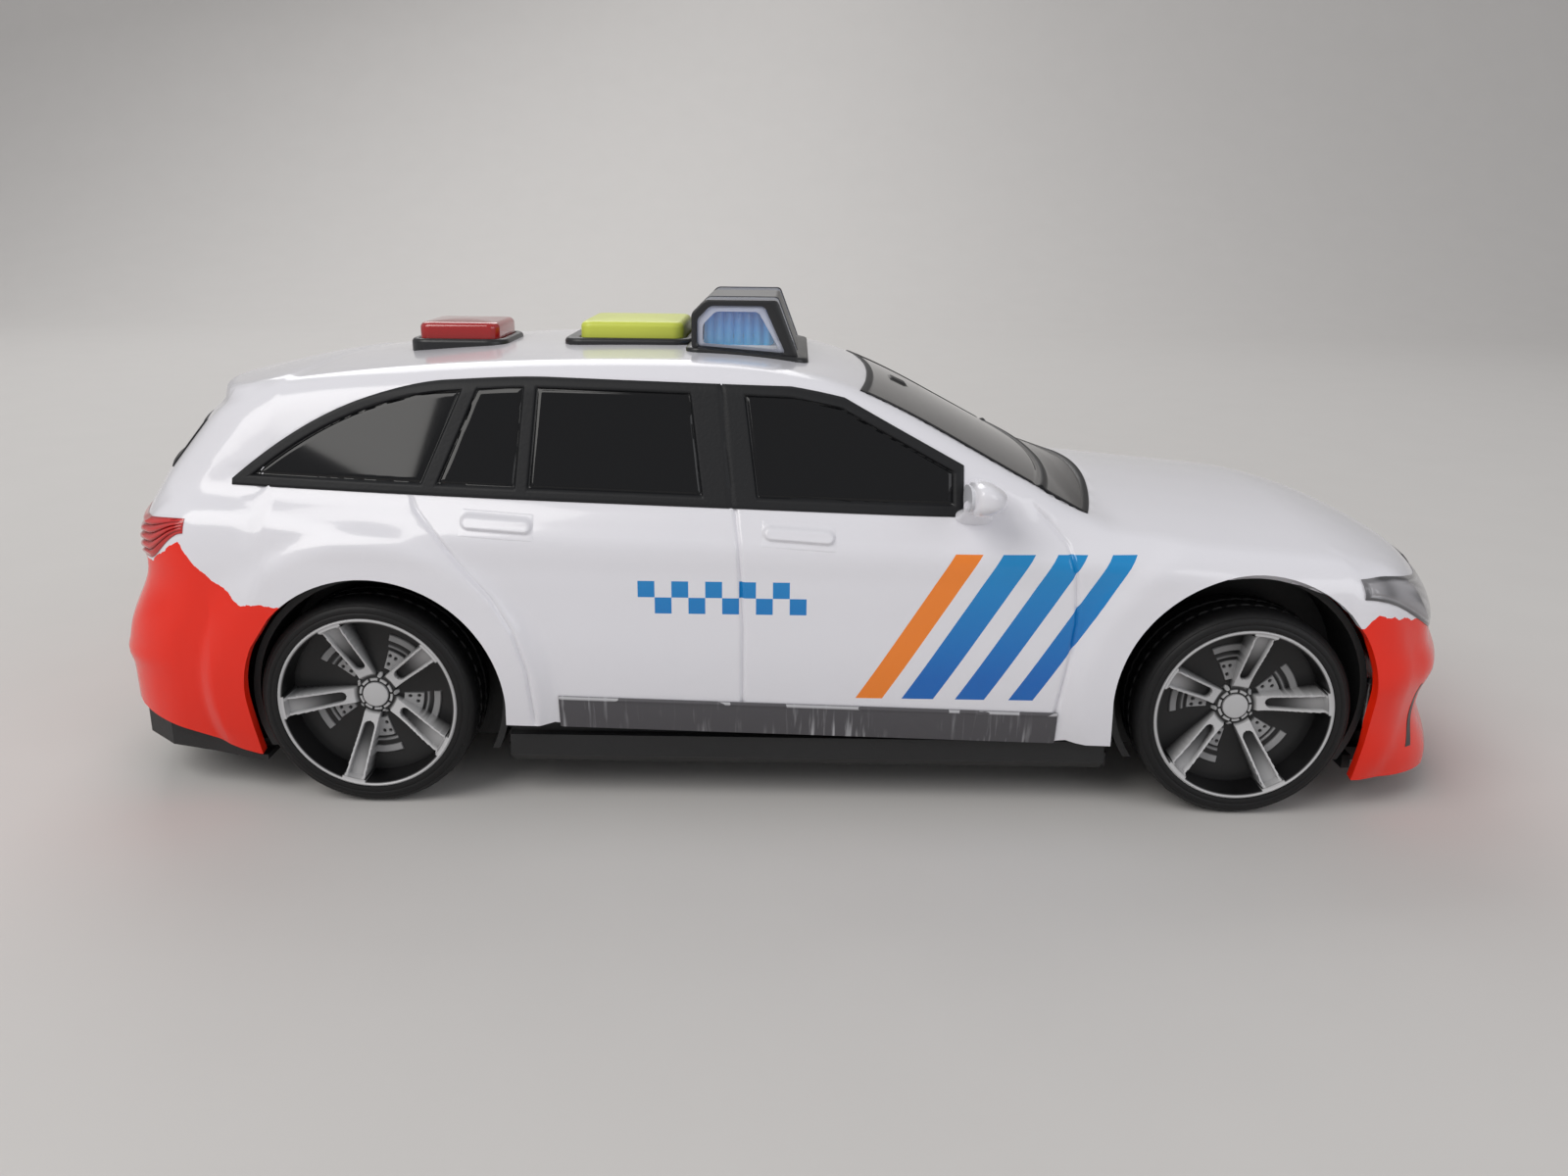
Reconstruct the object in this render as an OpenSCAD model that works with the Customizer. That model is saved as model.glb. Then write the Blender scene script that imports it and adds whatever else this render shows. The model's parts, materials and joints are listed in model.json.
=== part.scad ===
// Toy police estate car with a roof lightbar and two sound buttons.
// Millimetres, +X forward, +Z up, origin on the ground under the middle of the car.

/* [Body] */
// Length over the bumpers
body_length = 300; // [288:1:316]
// Width over the doors, without the arch flares
body_width = 112; // [108:1:118]
// Height of the bonnet at the foot of the windscreen
bonnet_height = 65.2; // [63:0.2:67]
// Height of the roof at its crown
roof_height = 93.2; // [91:0.2:97]
// Width of the cabin at the belt
cabin_width = 102.6; // [99:0.2:105]
// Wall of the body moulding
wall = 2.2; // [1.8:0.1:2.6]
// Height of the sills at mid length
sill_height = 17.2; // [16.6:0.1:19]
// Height of the lower edge of the front bumper
front_clearance = 7; // [5:0.5:9]
// Height of the lower edge of the rear bumper behind the wheel
rear_clearance = 9.4; // [9:0.2:12]
// Gap round the pieces that are let into the body
fit_gap = 0.25; // [0.15:0.05:0.4]

/* [Windows and lamps] */
// Where the windscreen plane meets the bonnet, ahead of the middle
windscreen_foot = 62.7; // [58:0.5:66]
// Slope of the windscreen from the horizontal
windscreen_slope = 27.7; // [26:0.1:30]
// Distance of the foot of the rear window from the tail
rear_window_setback = 8.5; // [6:0.5:12]
// Slope of the rear window from the horizontal
rear_window_slope = 48.7; // [45:0.1:52]
// Height of the lower edge of the side windows at mid length
belt_height = 64.2; // [63:0.2:66]
// Thickness of the windows, lamps and trims
insert_thickness = 1.7; // [1.2:0.1:2]
// Height of the sill trims
sill_trim_height = 6.9; // [5:0.1:9]

/* [Wheels] */
// Distance between the axles
wheelbase = 182; // [174:1:190]
// Distance of the front axle from the nose
front_overhang = 55; // [52:1:58]
// Diameter of the tyres
tyre_diameter = 45; // [43:0.5:46]
// Diameter of the rims
rim_diameter = 37.3; // [34:0.1:39]
// Width of the tyres
tyre_width = 16; // [13:0.5:17]
// How far the wheel faces stand inside the doors
wheel_inset = 1; // [0:0.5:3]
// Diameter of the axles
axle_diameter = 3; // [2.5:0.1:4]
// Spokes of a rim
spokes = 5; // [4:1:7]
// Room between a tyre and its arch
arch_room = 4.7; // [4:0.1:5.5]

/* [Roof gear] */
// Half length of the lightbar across the car
lightbar_reach = 25; // [22:0.5:28]
// Height of the lightbar above the roof console
lightbar_height = 9.2; // [8:0.1:11]
// Length of the lightbar along the car
lightbar_depth = 21.6; // [20:0.2:23]
// Length and width of the siren button
siren_size = [23, 26]; // [18:0.5:30]
// Length and width of the horn button
horn_size = [18, 20]; // [14:0.5:24]
// How far a button stands above its bezel
button_rise = 3.8; // [3:0.1:5]
// Travel of the buttons
button_travel = 2; // [1:0.1:2.4]

/* [Inside] */
// Height of the chassis underside above the ground
chassis_clearance = 8; // [7.5:0.1:8.6]
// Thickness of the chassis floor
floor_thickness = 3; // [2.6:0.1:3.4]
// Diameter of a battery cell
cell_diameter = 14.2; // [10:0.1:14.6]
// Length of a battery cell
cell_length = 50.5; // [44:0.5:52]
// Number of battery cells
cells = 3; // [2:1:3]
// Diameter of the speaker
speaker_diameter = 28; // [24:0.5:30]
// Travel of the power switch
switch_travel = 3.5; // [2:0.1:4]

/* [Hidden] */
$fn = 48;

// Places that follow from the driving sizes
half_width = body_width / 2;
nose_end = body_length / 2;
tail_end = -body_length / 2;
front_axle_x = nose_end - front_overhang;
rear_axle_x = front_axle_x - wheelbase;
tyre_radius = tyre_diameter / 2;
rim_radius = rim_diameter / 2;
wheel_face = half_width - wheel_inset;
arch_radius = tyre_radius + arch_room;
// Each arch: centre along the car and its height; the front one sits higher on its wheel
front_arch = [front_axle_x - 0.7, tyre_radius + 3.5];
rear_arch = [rear_axle_x + 2, tyre_radius + 0.5];
arches = [rear_arch, front_arch];
// The sills and the belt fall a little towards the nose
sill_fall = 0.022;
belt_fall = 0.026;
// Spine from which the skin is found, and its height
spine = 105;
spine_z = 38;

// Shaping of the sides: tuck under the belt, tuck above the sill, crease and flare
shoulder_z = 48;
shoulder_tuck = [4.4, 17];
sill_z = 38;
sill_tuck = [2.6, 22];
end_taper = [2.4, 60, 70];
crease_depth = 0.9;
flare = [1.5, 5, 11.5];
// Plan curves of nose and tail: set back at this distance from the middle
sweep_y = 38;
nose_sweep = 8;
tail_sweep = 6.5;
sweep_power = 2.2;
// Cabin: lean of the sides, and the curve of the roof fore and aft
cabin_lean = 0.37;
roof_peak_x = -25;
// Spoiler lip at the end of the roof
lip_reach = 22;
lip_half = 37;

// Maths that the skin is made of
function ease(t, a, b) = let (s = min(1, max(0, (t - a) / (b - a)))) s * s * (3 - 2 * s);
function over(t, a) = max(0, t - a);
function bell(t, a, w) = exp(-pow((t - a) / w, 2));
// Inside both of two bounds, with a round edge
function both(a, b, r) = min(-r, max(a, b)) + norm([max(r + a, 0), max(r + b, 0)]);
// Inside either of two bounds, with a round inner corner
function either(a, b, r) = max(r, min(a, b)) - norm([max(r - a, 0), max(r - b, 0)]);

// Raised rim round a wheel arch
function flare_at(x, z, arch) =
    flare[0] * (1 - ease(norm([x - arch[0], z - arch[1]]), arch_radius + flare[1], arch_radius + flare[2]));

// Half width of the lower body at a place and a height
function side_half(x, z) = let (zr = z + sill_fall * x)
    half_width - end_taper[0] * pow(over(abs(x), end_taper[1]) / end_taper[2], 2)
    - shoulder_tuck[0] * pow(over(zr, shoulder_z) / shoulder_tuck[1], 2)
    - sill_tuck[0] * pow(over(sill_z, zr) / sill_tuck[1], 2)
    + crease_depth * ease(zr, 50, 57) * (1 - ease(zr, 57, 60)) * ease(x, -112, -90) * (1 - ease(x, 66, 90))
    + flare_at(x, z, rear_arch) + flare_at(x, z, front_arch);

// End faces: bumper ledges, lamp faces and the tuck of the grille
function tail_x(ay, z) = tail_end + 0.9 + tail_sweep * pow(ay / sweep_y, sweep_power)
    + 5.8 * ease(z, 33, 50) + 1.6 * ease(z, 54, 66) - 0.9 * bell(z, 30.5, 2.2);
function nose_x(ay, z) = nose_end - nose_sweep * pow(ay / sweep_y, sweep_power)
    - 3.6 * ease(z, 9, 21) + 2.6 * bell(z, 30.5, 4.5) - 0.6 * ease(z, 36, 50);
function tail_bound(x, ay, z) = (tail_x(ay, z) - x) * 0.93;

// Bonnet and deck: slope to the nose, round front and crown
function bonnet_z(x, ay) = bonnet_height - 0.09 * over(x, 62) - 0.008 * pow(over(x, nose_end - 42), 2)
    - (0.6 + 4.4 * ease(x, 20, 60)) * pow(ay / 50, 2);
function lower_body(x, ay, z) =
    both(both(both(ay - side_half(x, z), (z - bonnet_z(x, ay)) * 0.98, 5), (x - nose_x(ay, z)) * 0.93, 9),
        tail_bound(x, ay, z), 9);

// Cabin: leaning sides, curved roof, windscreen and rear window planes
function cabin_half(x, z) = cabin_width / 2 - cabin_lean * (z - 65)
    - 5.5 * pow(over(-40, x) / 90, 2) - 3 * pow(over(x, 10) / 50, 2);
function roof_z(x, ay) = roof_height - 7.4 * pow(over(roof_peak_x, x) / 95, 2.4)
    - 5.2 * pow(over(x, roof_peak_x) / 42, 2.2) - 1.4 * pow(ay / 40, 2);
function windscreen_z(x, ay) =
    64.5 + (windscreen_foot - 4.8 * pow(ay / 44, 2) - x) * tan(windscreen_slope);
function windscreen_bound(x, ay, z) = (z - windscreen_z(x, ay)) * cos(windscreen_slope);
function rear_window_bound(x, ay, z) =
    (-x + tail_end + rear_window_setback + 10 * pow(ay / 40, 2)) * sin(rear_window_slope)
    + (z - 65) * cos(rear_window_slope);
function lip(x, ay, z) = both(both(both(z - roof_z(x, ay), roof_z(x, ay) - 5 - z, 1),
    both(ay - lip_half, tail_end + lip_reach + 13 * pow(ay / sweep_y, 2) + 0.55 * (84 - z) - x, 2), 1.2),
    x - tail_end - 46, 1);
function cabin(x, ay, z) = let (
    sides = (ay - cabin_half(x, z)) / norm([1, cabin_lean]),
    top = both(sides, z - roof_z(x, ay), 5),
    ends = both(both(top, windscreen_bound(x, ay, z), 3), rear_window_bound(x, ay, z), 4),
    lipped = x < tail_end + 60 ? either(ends, lip(x, ay, z), 1.5) : ends)
    both(both(lipped, tail_bound(x, ay, z), 5), 58 - z, 1);

// The body without its lower edge, and the height of that edge along the car
function hull_of_body(p) = let (ay = abs(p[1]))
    either(lower_body(p[0], ay, p[2]), cabin(p[0], ay, p[2]), 2.5);
function lower_edge(x) = let (
    mid = sill_height - sill_fall * x,
    rear = rear_clearance + 0.33 * over(rear_arch[0] - arch_radius, x),
    to_front = ease(x, front_arch[0] + 18, front_arch[0] + 22),
    to_rear = 1 - ease(x, rear_arch[0] - 23, rear_arch[0] - 19))
    mid + (front_clearance - mid) * to_front + (rear - mid) * to_rear;

// Point on a ray [origin, direction] at a given distance outside the hull of the body
function on_hull(ray, level, lo = 0, hi = 90, turns = 14) = let (mid = (lo + hi) / 2)
    turns == 0 ? ray[0] + mid * ray[1]
    : hull_of_body(ray[0] + mid * ray[1]) < level ? on_hull(ray, level, mid, hi, turns - 1)
    : on_hull(ray, level, lo, mid, turns - 1);
// The same, but no lower than a given height
function above(low, ray, level) = let (p = on_hull(ray, level))
    p[2] >= low ? p : ray[0] + ray[1] * (ray[0][2] - low) / -ray[1][2];

// Rays from the spine: a fan at each end and even steps between, all round the car
function spine_rays(along, fan) = concat(
    [for (i = [1:fan]) [-spine, -90 + 90 * i / (fan + 1)]],
    [for (i = [0:along]) [-spine + 2 * spine * i / along, 0]],
    [for (i = [1:fan]) [spine, 90 * i / (fan + 1)]]);
function spine_ray(station, turn) = [[station[0], 0, spine_z],
    [sin(station[1]), cos(station[1]) * sin(turn), cos(station[1]) * cos(turn)]];

// Faces of a closed skin of rings, with a pole point at each end
function ring_faces(n, m) = concat(
    [for (i = [0:n - 2], j = [0:m - 1]) let (k = (j + 1) % m)
        each [[i * m + j, i * m + k, (i + 1) * m + k], [i * m + j, (i + 1) * m + k, (i + 1) * m + j]]],
    [for (j = [0:m - 1]) [n * m, (j + 1) % m, j]],
    [for (j = [0:m - 1]) [n * m + 1, (n - 1) * m + j, (n - 1) * m + (j + 1) % m]]);

// Closed skin at a level, with a flat bottom well below the lower edge of the body
module closed_skin(level, low, along, fan, around) {
    stations = spine_rays(along, fan);
    rings = [for (s = stations, j = [0:around - 1]) above(low, spine_ray(s, 360 * j / around), level)];
    poles = [on_hull(spine_ray([-spine, -90], 0), level), on_hull(spine_ray([spine, 90], 0), level)];
    polyhedron(concat(rings, poles), ring_faces(len(stations), around));
}

// Everything below the lower edge
module below_edge() {
    reach = body_length / 2 + 10;
    edge = [for (x = [-reach:2:reach]) [x, lower_edge(x)]];
    rotate([90, 0, 0]) linear_extrude(2 * body_width, center = true)
        polygon(concat(edge, [[reach, -40], [-reach, -40]]));
}

// Faces of a slab between two grids of n rows and m columns
function slab_faces(n, m) = let (
    s = n * m,
    edge = concat([for (j = [0:m - 1]) j], [for (i = [1:n - 1]) i * m + m - 1],
        [for (j = [m - 2:-1:0]) (n - 1) * m + j], [for (i = [n - 2:-1:1]) i * m]),
    e = len(edge))
    concat(
        [for (i = [0:n - 2], j = [0:m - 2]) let (a = i * m + j)
            each [[a, a + 1, a + m + 1], [a, a + m + 1, a + m]]],
        [for (i = [0:n - 2], j = [0:m - 2]) let (a = s + i * m + j)
            each [[a, a + m + 1, a + 1], [a, a + m, a + m + 1]]],
        [for (k = [0:e - 1]) let (a = edge[k], b = edge[(k + 1) % e])
            each [[a, s + a, s + b], [a, s + b, b]]]);

// Slab of the skin between two depths, over a grid of rays
module skin_slab(rays, outside, inside) {
    front = [for (row = rays, ray = row) on_hull(ray, outside)];
    back = [for (row = rays, ray = row) on_hull(ray, inside)];
    polyhedron(concat(front, back), slab_faces(len(rays), len(rays[0])));
}

// A piece let into the skin, and the opening that is cut for it
module inlay(rays, proud = 0) skin_slab(rays, proud, -insert_thickness);
module opening(rays, depth = 5) skin_slab(rays, 4, -depth);

module left_side() mirror([0, 1, 0]) children();

// Windscreen with the scuttle panel below it
windscreen_top = 17.5;
pillar = 3.8;
scuttle_front = 5;
function windscreen_rays(gap, rows = 12, columns = 10) =
    [for (i = [0:rows]) let (s = i / rows) [for (j = [0:columns]) let (
        v = 2 * j / columns - 1,
        back_x = windscreen_top - 3 * v * v - gap,
        front_x = windscreen_foot + scuttle_front - 6 * v * v + gap,
        x = back_x + s * (front_x - back_x),
        z = max(windscreen_z(x, 30), bonnet_height - 1),
        half = min(cabin_half(x, z), cabin_width / 2 - 2) - pillar + gap)
        [[x, v * half, 45], [0, 0, 1]]]];

// Side window band: straight belt, round tail, roof line and windscreen pillar
window_tail = -113.4;
window_front = 35.3;
window_round = [43.8, 1.9];
function belt_z(x) = belt_height - belt_fall * x;
function window_top_z(x) = let (
    under_roof = min(roof_z(x, 0), windscreen_z(x, 40)) - 4,
    round_tail = belt_z(x) + 1.2 + (roof_height - belt_height - 8.9)
        * (1 - pow(over(window_tail + window_round[0], x) / window_round[0], window_round[1])))
    min(under_roof, round_tail);
function side_window_rays(gap, rows = 28, columns = 3) =
    [for (i = [0:rows]) let (
        x = window_tail - gap + (window_front - window_tail + 2 * gap) * i / rows,
        inner_x = max(window_tail, x))
        [for (j = [0:columns]) let (
            low = belt_z(x) - gap,
            high = window_top_z(inner_x) + gap)
            [[x, -20, low + (high - low) * j / columns], [0, -1, 0]]]];

// Rear window
rear_window_low = 68.5;
rear_window_rise = 9.5;
rear_window_half = [36, 32];
function rear_window_rays(gap, rows = 6, columns = 12) =
    [for (i = [0:rows]) let (
        s = i / rows,
        z = rear_window_low - gap + (rear_window_rise + 2 * gap) * s,
        half = rear_window_half[0] + (rear_window_half[1] - rear_window_half[0]) * s + gap)
        [for (j = [0:columns]) [[tail_end + 70, half * (2 * j / columns - 1), z], [-1, 0, 0]]]];

// Lamps wrap round the corners, so their rays fan out from a point inside
headlamp_angles = [24, 70];
headlamp_low = [50.2, 40];
headlamp_top = 52.2;
function headlamp_rays(gap, rows = 10, columns = 4) =
    [for (i = [0:rows]) let (
        s = i / rows,
        turn = headlamp_angles[0] - gap + (headlamp_angles[1] - headlamp_angles[0] + 2 * gap) * s,
        low = headlamp_low[0] + (headlamp_low[1] - headlamp_low[0]) * ease(s, 0, 0.75) - gap,
        high = headlamp_top - 1.8 * ease(s, 0.4, 1) + gap)
        [for (j = [0:columns])
            [[nose_end - 50, -15, low + (high - low) * j / columns], [sin(turn), -cos(turn), 0]]]];

taillight_angles = [-72, -34];
taillight_low = 48.6;
taillight_top = 60;
function taillight_rays(gap, rows = 10, columns = 4) =
    [for (i = [0:rows]) let (
        s = i / rows,
        turn = taillight_angles[0] - gap + (taillight_angles[1] - taillight_angles[0] + 2 * gap) * s,
        low = taillight_low + 2 * ease(s, 0.5, 1) - gap,
        high = taillight_top - 1.5 * ease(s, 0.6, 1) + gap)
        [for (j = [0:columns])
            [[tail_end + 42, -15, low + (high - low) * j / columns], [sin(turn), -cos(turn), 0]]]];

// Radiator grille between the headlamps
grille_half = [19, 23];
grille_low = 35.5;
grille_top = 49.5;
function grille_rays(gap, rows = 10, columns = 5) =
    [for (i = [0:rows]) [for (j = [0:columns]) let (
        s = j / columns,
        half = grille_half[0] + (grille_half[1] - grille_half[0]) * sin(180 * s * 0.6) + gap,
        z = grille_low - gap + (grille_top - grille_low + 2 * gap) * s)
        [[nose_end - 50, half * (2 * i / rows - 1), z], [1, 0, 0]]]];

// Sill trims between the wheel arches, along the lower edge
trim_margin = 10.8;
trim_back = rear_arch[0] + arch_radius + trim_margin;
trim_front = front_arch[0] - arch_radius - trim_margin;
function sill_trim_rays(gap, drop, rows = 12, columns = 3) =
    [for (i = [0:rows]) let (x = trim_back - gap + (trim_front - trim_back + 2 * gap) * i / rows)
        [for (j = [0:columns]) let (
            low = sill_height - sill_fall * x - drop,
            high = sill_height - sill_fall * x + sill_trim_height + gap)
            [[x, -20, low + (high - low) * j / columns], [0, -1, 0]]]];

// Screw posts that hang in the body and stand on the chassis bosses
post_diameter = 7;
post_bore = 3;
post_foot = 14;
post_top = 40;
post_places = [for (x = [tail_end + 24, nose_end - 22], s = [-1, 1]) [x, s * (half_width - 18)]];

// The circuit board hangs under the roof on four posts
board_size = [80, 36, 1.6];
board_x = -55;
board_top = roof_height - 15.3;
board_inset = 5.4;
board_post = 6;
small_bore = 2;
board_places = [for (i = [-1, 1], j = [-1, 1])
    [board_x + i * (board_size[0] / 2 - board_inset), j * (board_size[1] / 2 - board_inset)]];

// Roof gear: flat tops a little above the roof, wells for the buttons
console_top = roof_height + 1.1;
horn_bezel_top = roof_height + 0.2;
siren_x = -35.5;
horn_x = -75;
bezel_rim = 3.6;
well_wall = 1.5;
well_depth = 6.3;
well_floor = 1.2;
button_gap = 0.3;
button_round = 2.5;
stem_diameter = 6;
lightbar_back = -21.2;
console_half = [siren_size[1] / 2 + 2.4, lightbar_reach + 1.5];

module body_shell() {
    color("white") resize([body_length, 0, 0]) difference() {
        union() {
            difference() {
                closed_skin(0, -14, 38, 10, 42);
                closed_skin(-wall, -16, 22, 5, 28);
                below_edge();
            }
            for (p = post_places) {
                translate([p[0], p[1], post_foot]) cylinder(d = post_diameter, h = post_top - post_foot, $fn = 24);
                translate([p[0] - 1, p[1] > 0 ? p[1] : -half_width + 5, post_foot + 10])
                    cube([2, half_width - 5 - abs(p[1]), post_top - post_foot - 10]);
            }
            for (p = board_places) translate([p[0], p[1], board_top])
                cylinder(d = board_post, h = roof_z(p[0], abs(p[1])) - wall / 2 - board_top, $fn = 20);
        }
        for (a = arches) translate([a[0], 0, a[1]]) rotate([90, 0, 0])
            cylinder(r = arch_radius, h = 2 * body_width, center = true);
        for (a = arches) translate([a[0] - arch_radius + 1.5, -body_width, -1])
            cube([2 * arch_radius - 3, 2 * body_width, a[1] - 4]);
        opening(windscreen_rays(fit_gap), 12);
        opening(rear_window_rays(fit_gap));
        opening(grille_rays(fit_gap));
        for (s = [0, 1]) mirror([0, s, 0]) {
            opening(side_window_rays(fit_gap), 12);
            opening(headlamp_rays(fit_gap));
            opening(taillight_rays(fit_gap));
            opening(sill_trim_rays(fit_gap, 4));
        }
        well_cut(siren_x, siren_size);
        well_cut(horn_x, horn_size);
        translate([lightbar_back + lightbar_depth / 2, 0, board_top]) cylinder(d = 8, h = 30);
        for (p = post_places) translate([p[0], p[1], post_foot - 1]) cylinder(d = post_bore, h = 16, $fn = 24);
        for (p = board_places) translate([p[0], p[1], board_top - 1]) cylinder(d = small_bore, h = 8, $fn = 20);
    }
}

// Opening in the roof for the well of a button
module well_cut(x, size) {
    open = [size[0] + 2 * (button_gap + well_wall + fit_gap), size[1] + 2 * (button_gap + well_wall + fit_gap)];
    translate([x - open[0] / 2, -open[1] / 2, board_top + 5]) cube([open[0], open[1], 30]);
}

module windscreen() color("#16171a") inlay(windscreen_rays(0));
module side_window_right() color("#101114") inlay(side_window_rays(0));
module side_window_left() left_side() side_window_right();
module rear_window() color("#16171a") inlay(rear_window_rays(0));
module headlamp_right() color("#9a9a9c") inlay(headlamp_rays(0), 0.2);
module headlamp_left() left_side() headlamp_right();
module taillight_right() color("#c0201c") inlay(taillight_rays(0), 0.4);
module taillight_left() left_side() taillight_right();
module grille() color("#141416") inlay(grille_rays(0), 0.3);
module sill_trim_right() color("#4a4a4e") inlay(sill_trim_rays(0, 0), 0.5);
module sill_trim_left() left_side() sill_trim_right();

// Door mirror: a rounded head on a short foot that stands on the door
mirror_x = 37;
mirror_z = 68.4;
mirror_head = [5, 8, 3.6];
mirror_seat = [14, 12];
function mirror_seat_rays(rows = 4, columns = 12) =
    [for (i = [0:rows]) [for (j = [0:columns])
        [[mirror_x + mirror_seat[0] * (i / rows - 0.5), -20, mirror_z - 9.4 + mirror_seat[1] * j / columns], [0, -1, 0]]]];
module mirror_right() {
    foot = on_hull([[mirror_x, -20, mirror_z - 5], [0, -1, 0]], 0.1);
    head_y = foot[1] - 6.5;
    color("white") difference() {
        union() {
            hull() {
                translate([mirror_x, head_y, mirror_z + 0.4]) scale(mirror_head) sphere(1, $fn = 24);
                translate([mirror_x - 2.5, head_y, mirror_z]) scale([1.5, 8.2, mirror_head[2]]) sphere(1, $fn = 24);
            }
            hull() {
                translate([mirror_x - 3, foot[1] - 1.6, mirror_z - 6.5]) cube([6, 1.6, 3.5]);
                translate([mirror_x - 2, head_y + 2, mirror_z - 2.5]) cube([3.5, 2.5, 2]);
            }
        }
        skin_slab(mirror_seat_rays(), fit_gap + 0.45, -6);
    }
}
module mirror_left() left_side() mirror_right();

// A solid with upright sides and a flat top that sits on the roof: a half width for each place
module roof_pad(places, top, columns = 6) {
    spots = [for (p = places, j = [0:columns]) [p[0], p[1] * (2 * j / columns - 1)]];
    upper = [for (s = spots) [s[0], s[1], top]];
    under = [for (s = spots) on_hull([[s[0], s[1], 45], [0, 0, 1]], 0.1)];
    polyhedron(concat(upper, under), slab_faces(len(places), columns + 1));
}

// Block with upright round corners
module rounded_block(size, round, height) {
    linear_extrude(height) {
        square([size[0] - 2 * round, size[1]], center = true);
        square([size[0], size[1] - 2 * round], center = true);
        for (i = [-1, 1], j = [-1, 1])
            translate([i * (size[0] / 2 - round), j * (size[1] / 2 - round)]) circle(round);
    }
}

// Well that guides a button, hung from its bezel, with a bore for the stem
module button_well(x, size, top) {
    inner = [size[0] + 2 * button_gap, size[1] + 2 * button_gap];
    outer = [inner[0] + 2 * well_wall, inner[1] + 2 * well_wall];
    difference() {
        union() {
            children();
            translate([x, 0, top - well_depth - well_floor])
                rounded_block(outer, button_round + well_wall, well_depth + well_floor);
        }
        translate([x, 0, top - well_depth]) rounded_block(inner, button_round + button_gap, well_depth + 1);
        translate([x, 0, top - well_depth - well_floor - 1])
            cylinder(d = stem_diameter + 0.2, h = well_floor + 2);
    }
}

module roof_console() {
    back = siren_x - siren_size[0] / 2 - bezel_rim;
    neck = lightbar_back - 2;
    front = lightbar_back + lightbar_depth + 3;
    places = [[back, console_half[0] - 4], [back + 1.5, console_half[0] - 1], [back + 4, console_half[0]],
        [(back + neck) / 2, console_half[0]], [neck - 1, console_half[0]], [neck + 1, console_half[1] - 2],
        [neck + 4, console_half[1]], [(neck + front) / 2 + 3, console_half[1]], [front - 3, console_half[1]],
        [front, console_half[1] - 3]];
    color("#17181b") difference() {
        button_well(siren_x, siren_size, console_top) roof_pad(places, console_top);
        translate([lightbar_back + lightbar_depth / 2, 0, board_top]) cylinder(d = 6, h = 30);
    }
}

module horn_button_bezel() {
    half = [horn_size[0] / 2 + 2, horn_size[1] / 2 + 2];
    places = [[horn_x - half[0], half[1] - 3], [horn_x - half[0] + 3, half[1]],
        [horn_x, half[1]], [horn_x + half[0] - 3, half[1]], [horn_x + half[0], half[1] - 3]];
    color("#17181b") button_well(horn_x, horn_size, horn_bezel_top) roof_pad(places, horn_bezel_top, 4);
}

// Button: hollow cap in the well, and a stem with a snap barb under the well floor
cap_skirt = well_depth - button_travel - 0.4;
cap_wall = 1.6;
barb_diameter = 7.6;
barb_height = 1.6;
spring_diameter = 10;
spring_wire = 0.8;
spring_turns = 3;
module button_solid(x, size, top) {
    floor_low = top - well_depth - well_floor;
    cap_top = top + button_rise;
    difference() {
        union() {
            translate([x, 0, top - cap_skirt]) rounded_block(size, button_round, cap_skirt + button_rise);
        }
        translate([x, 0, top - cap_skirt - 1])
            rounded_block([size[0] - 2 * cap_wall, size[1] - 2 * cap_wall], 1, cap_skirt + button_rise + 1 - cap_wall);
    }
    translate([x, 0, floor_low - barb_height - 0.1])
        cylinder(d = stem_diameter, h = cap_top - cap_wall - floor_low + barb_height + 0.1);
    translate([x, 0, floor_low - barb_height - 0.1])
        cylinder(d1 = stem_diameter, d2 = barb_diameter, h = barb_height);
}
module siren_button() color("#cfd84a") button_solid(siren_x, siren_size, console_top);
module horn_button() color("#c4161c") button_solid(horn_x, horn_size, horn_bezel_top);

// Coil spring from the well floor to the inside of the cap
spring_sides = 6;
spring_steps = 10;
module coil_spring(x, low, high) {
    r = (spring_diameter - spring_wire) / 2;
    n = spring_turns * spring_steps;
    rise = high - low - spring_wire - 0.2;
    function centre(i) = [x + r * cos(360 * i / spring_steps), r * sin(360 * i / spring_steps),
        low + 0.1 + spring_wire / 2 + rise * i / n];
    ring = [for (i = [0:n], k = [0:spring_sides - 1]) let (
        a = 360 * i / spring_steps,
        b = -360 * k / spring_sides)
        centre(i) + spring_wire / 2 * [cos(a) * cos(b), sin(a) * cos(b), sin(b)]];
    ends = [[for (k = [0:spring_sides - 1]) k], [for (k = [spring_sides - 1:-1:0]) n * spring_sides + k]];
    sides = [for (i = [0:n - 1], k = [0:spring_sides - 1]) let (
        l = (k + 1) % spring_sides,
        a = i * spring_sides)
        each [[a + k, a + spring_sides + k, a + spring_sides + l], [a + k, a + spring_sides + l, a + l]]];
    polyhedron(concat(ring), concat(ends, sides));
}
module siren_button_spring() color("silver")
    coil_spring(siren_x, console_top - well_depth, console_top + button_rise - cap_wall);
module horn_button_spring() color("silver")
    coil_spring(horn_x, horn_bezel_top - well_depth, horn_bezel_top + button_rise - cap_wall);

// Lightbar: end rings and a middle block on one base plate, clear covers and blue lenses
lightbar_base = 1;
lightbar_frame = 1.3;
lightbar_mid = 12;
lightbar_ring = 1.3;
cover_wall = 1.1;
channel = [9, 3];
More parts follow.
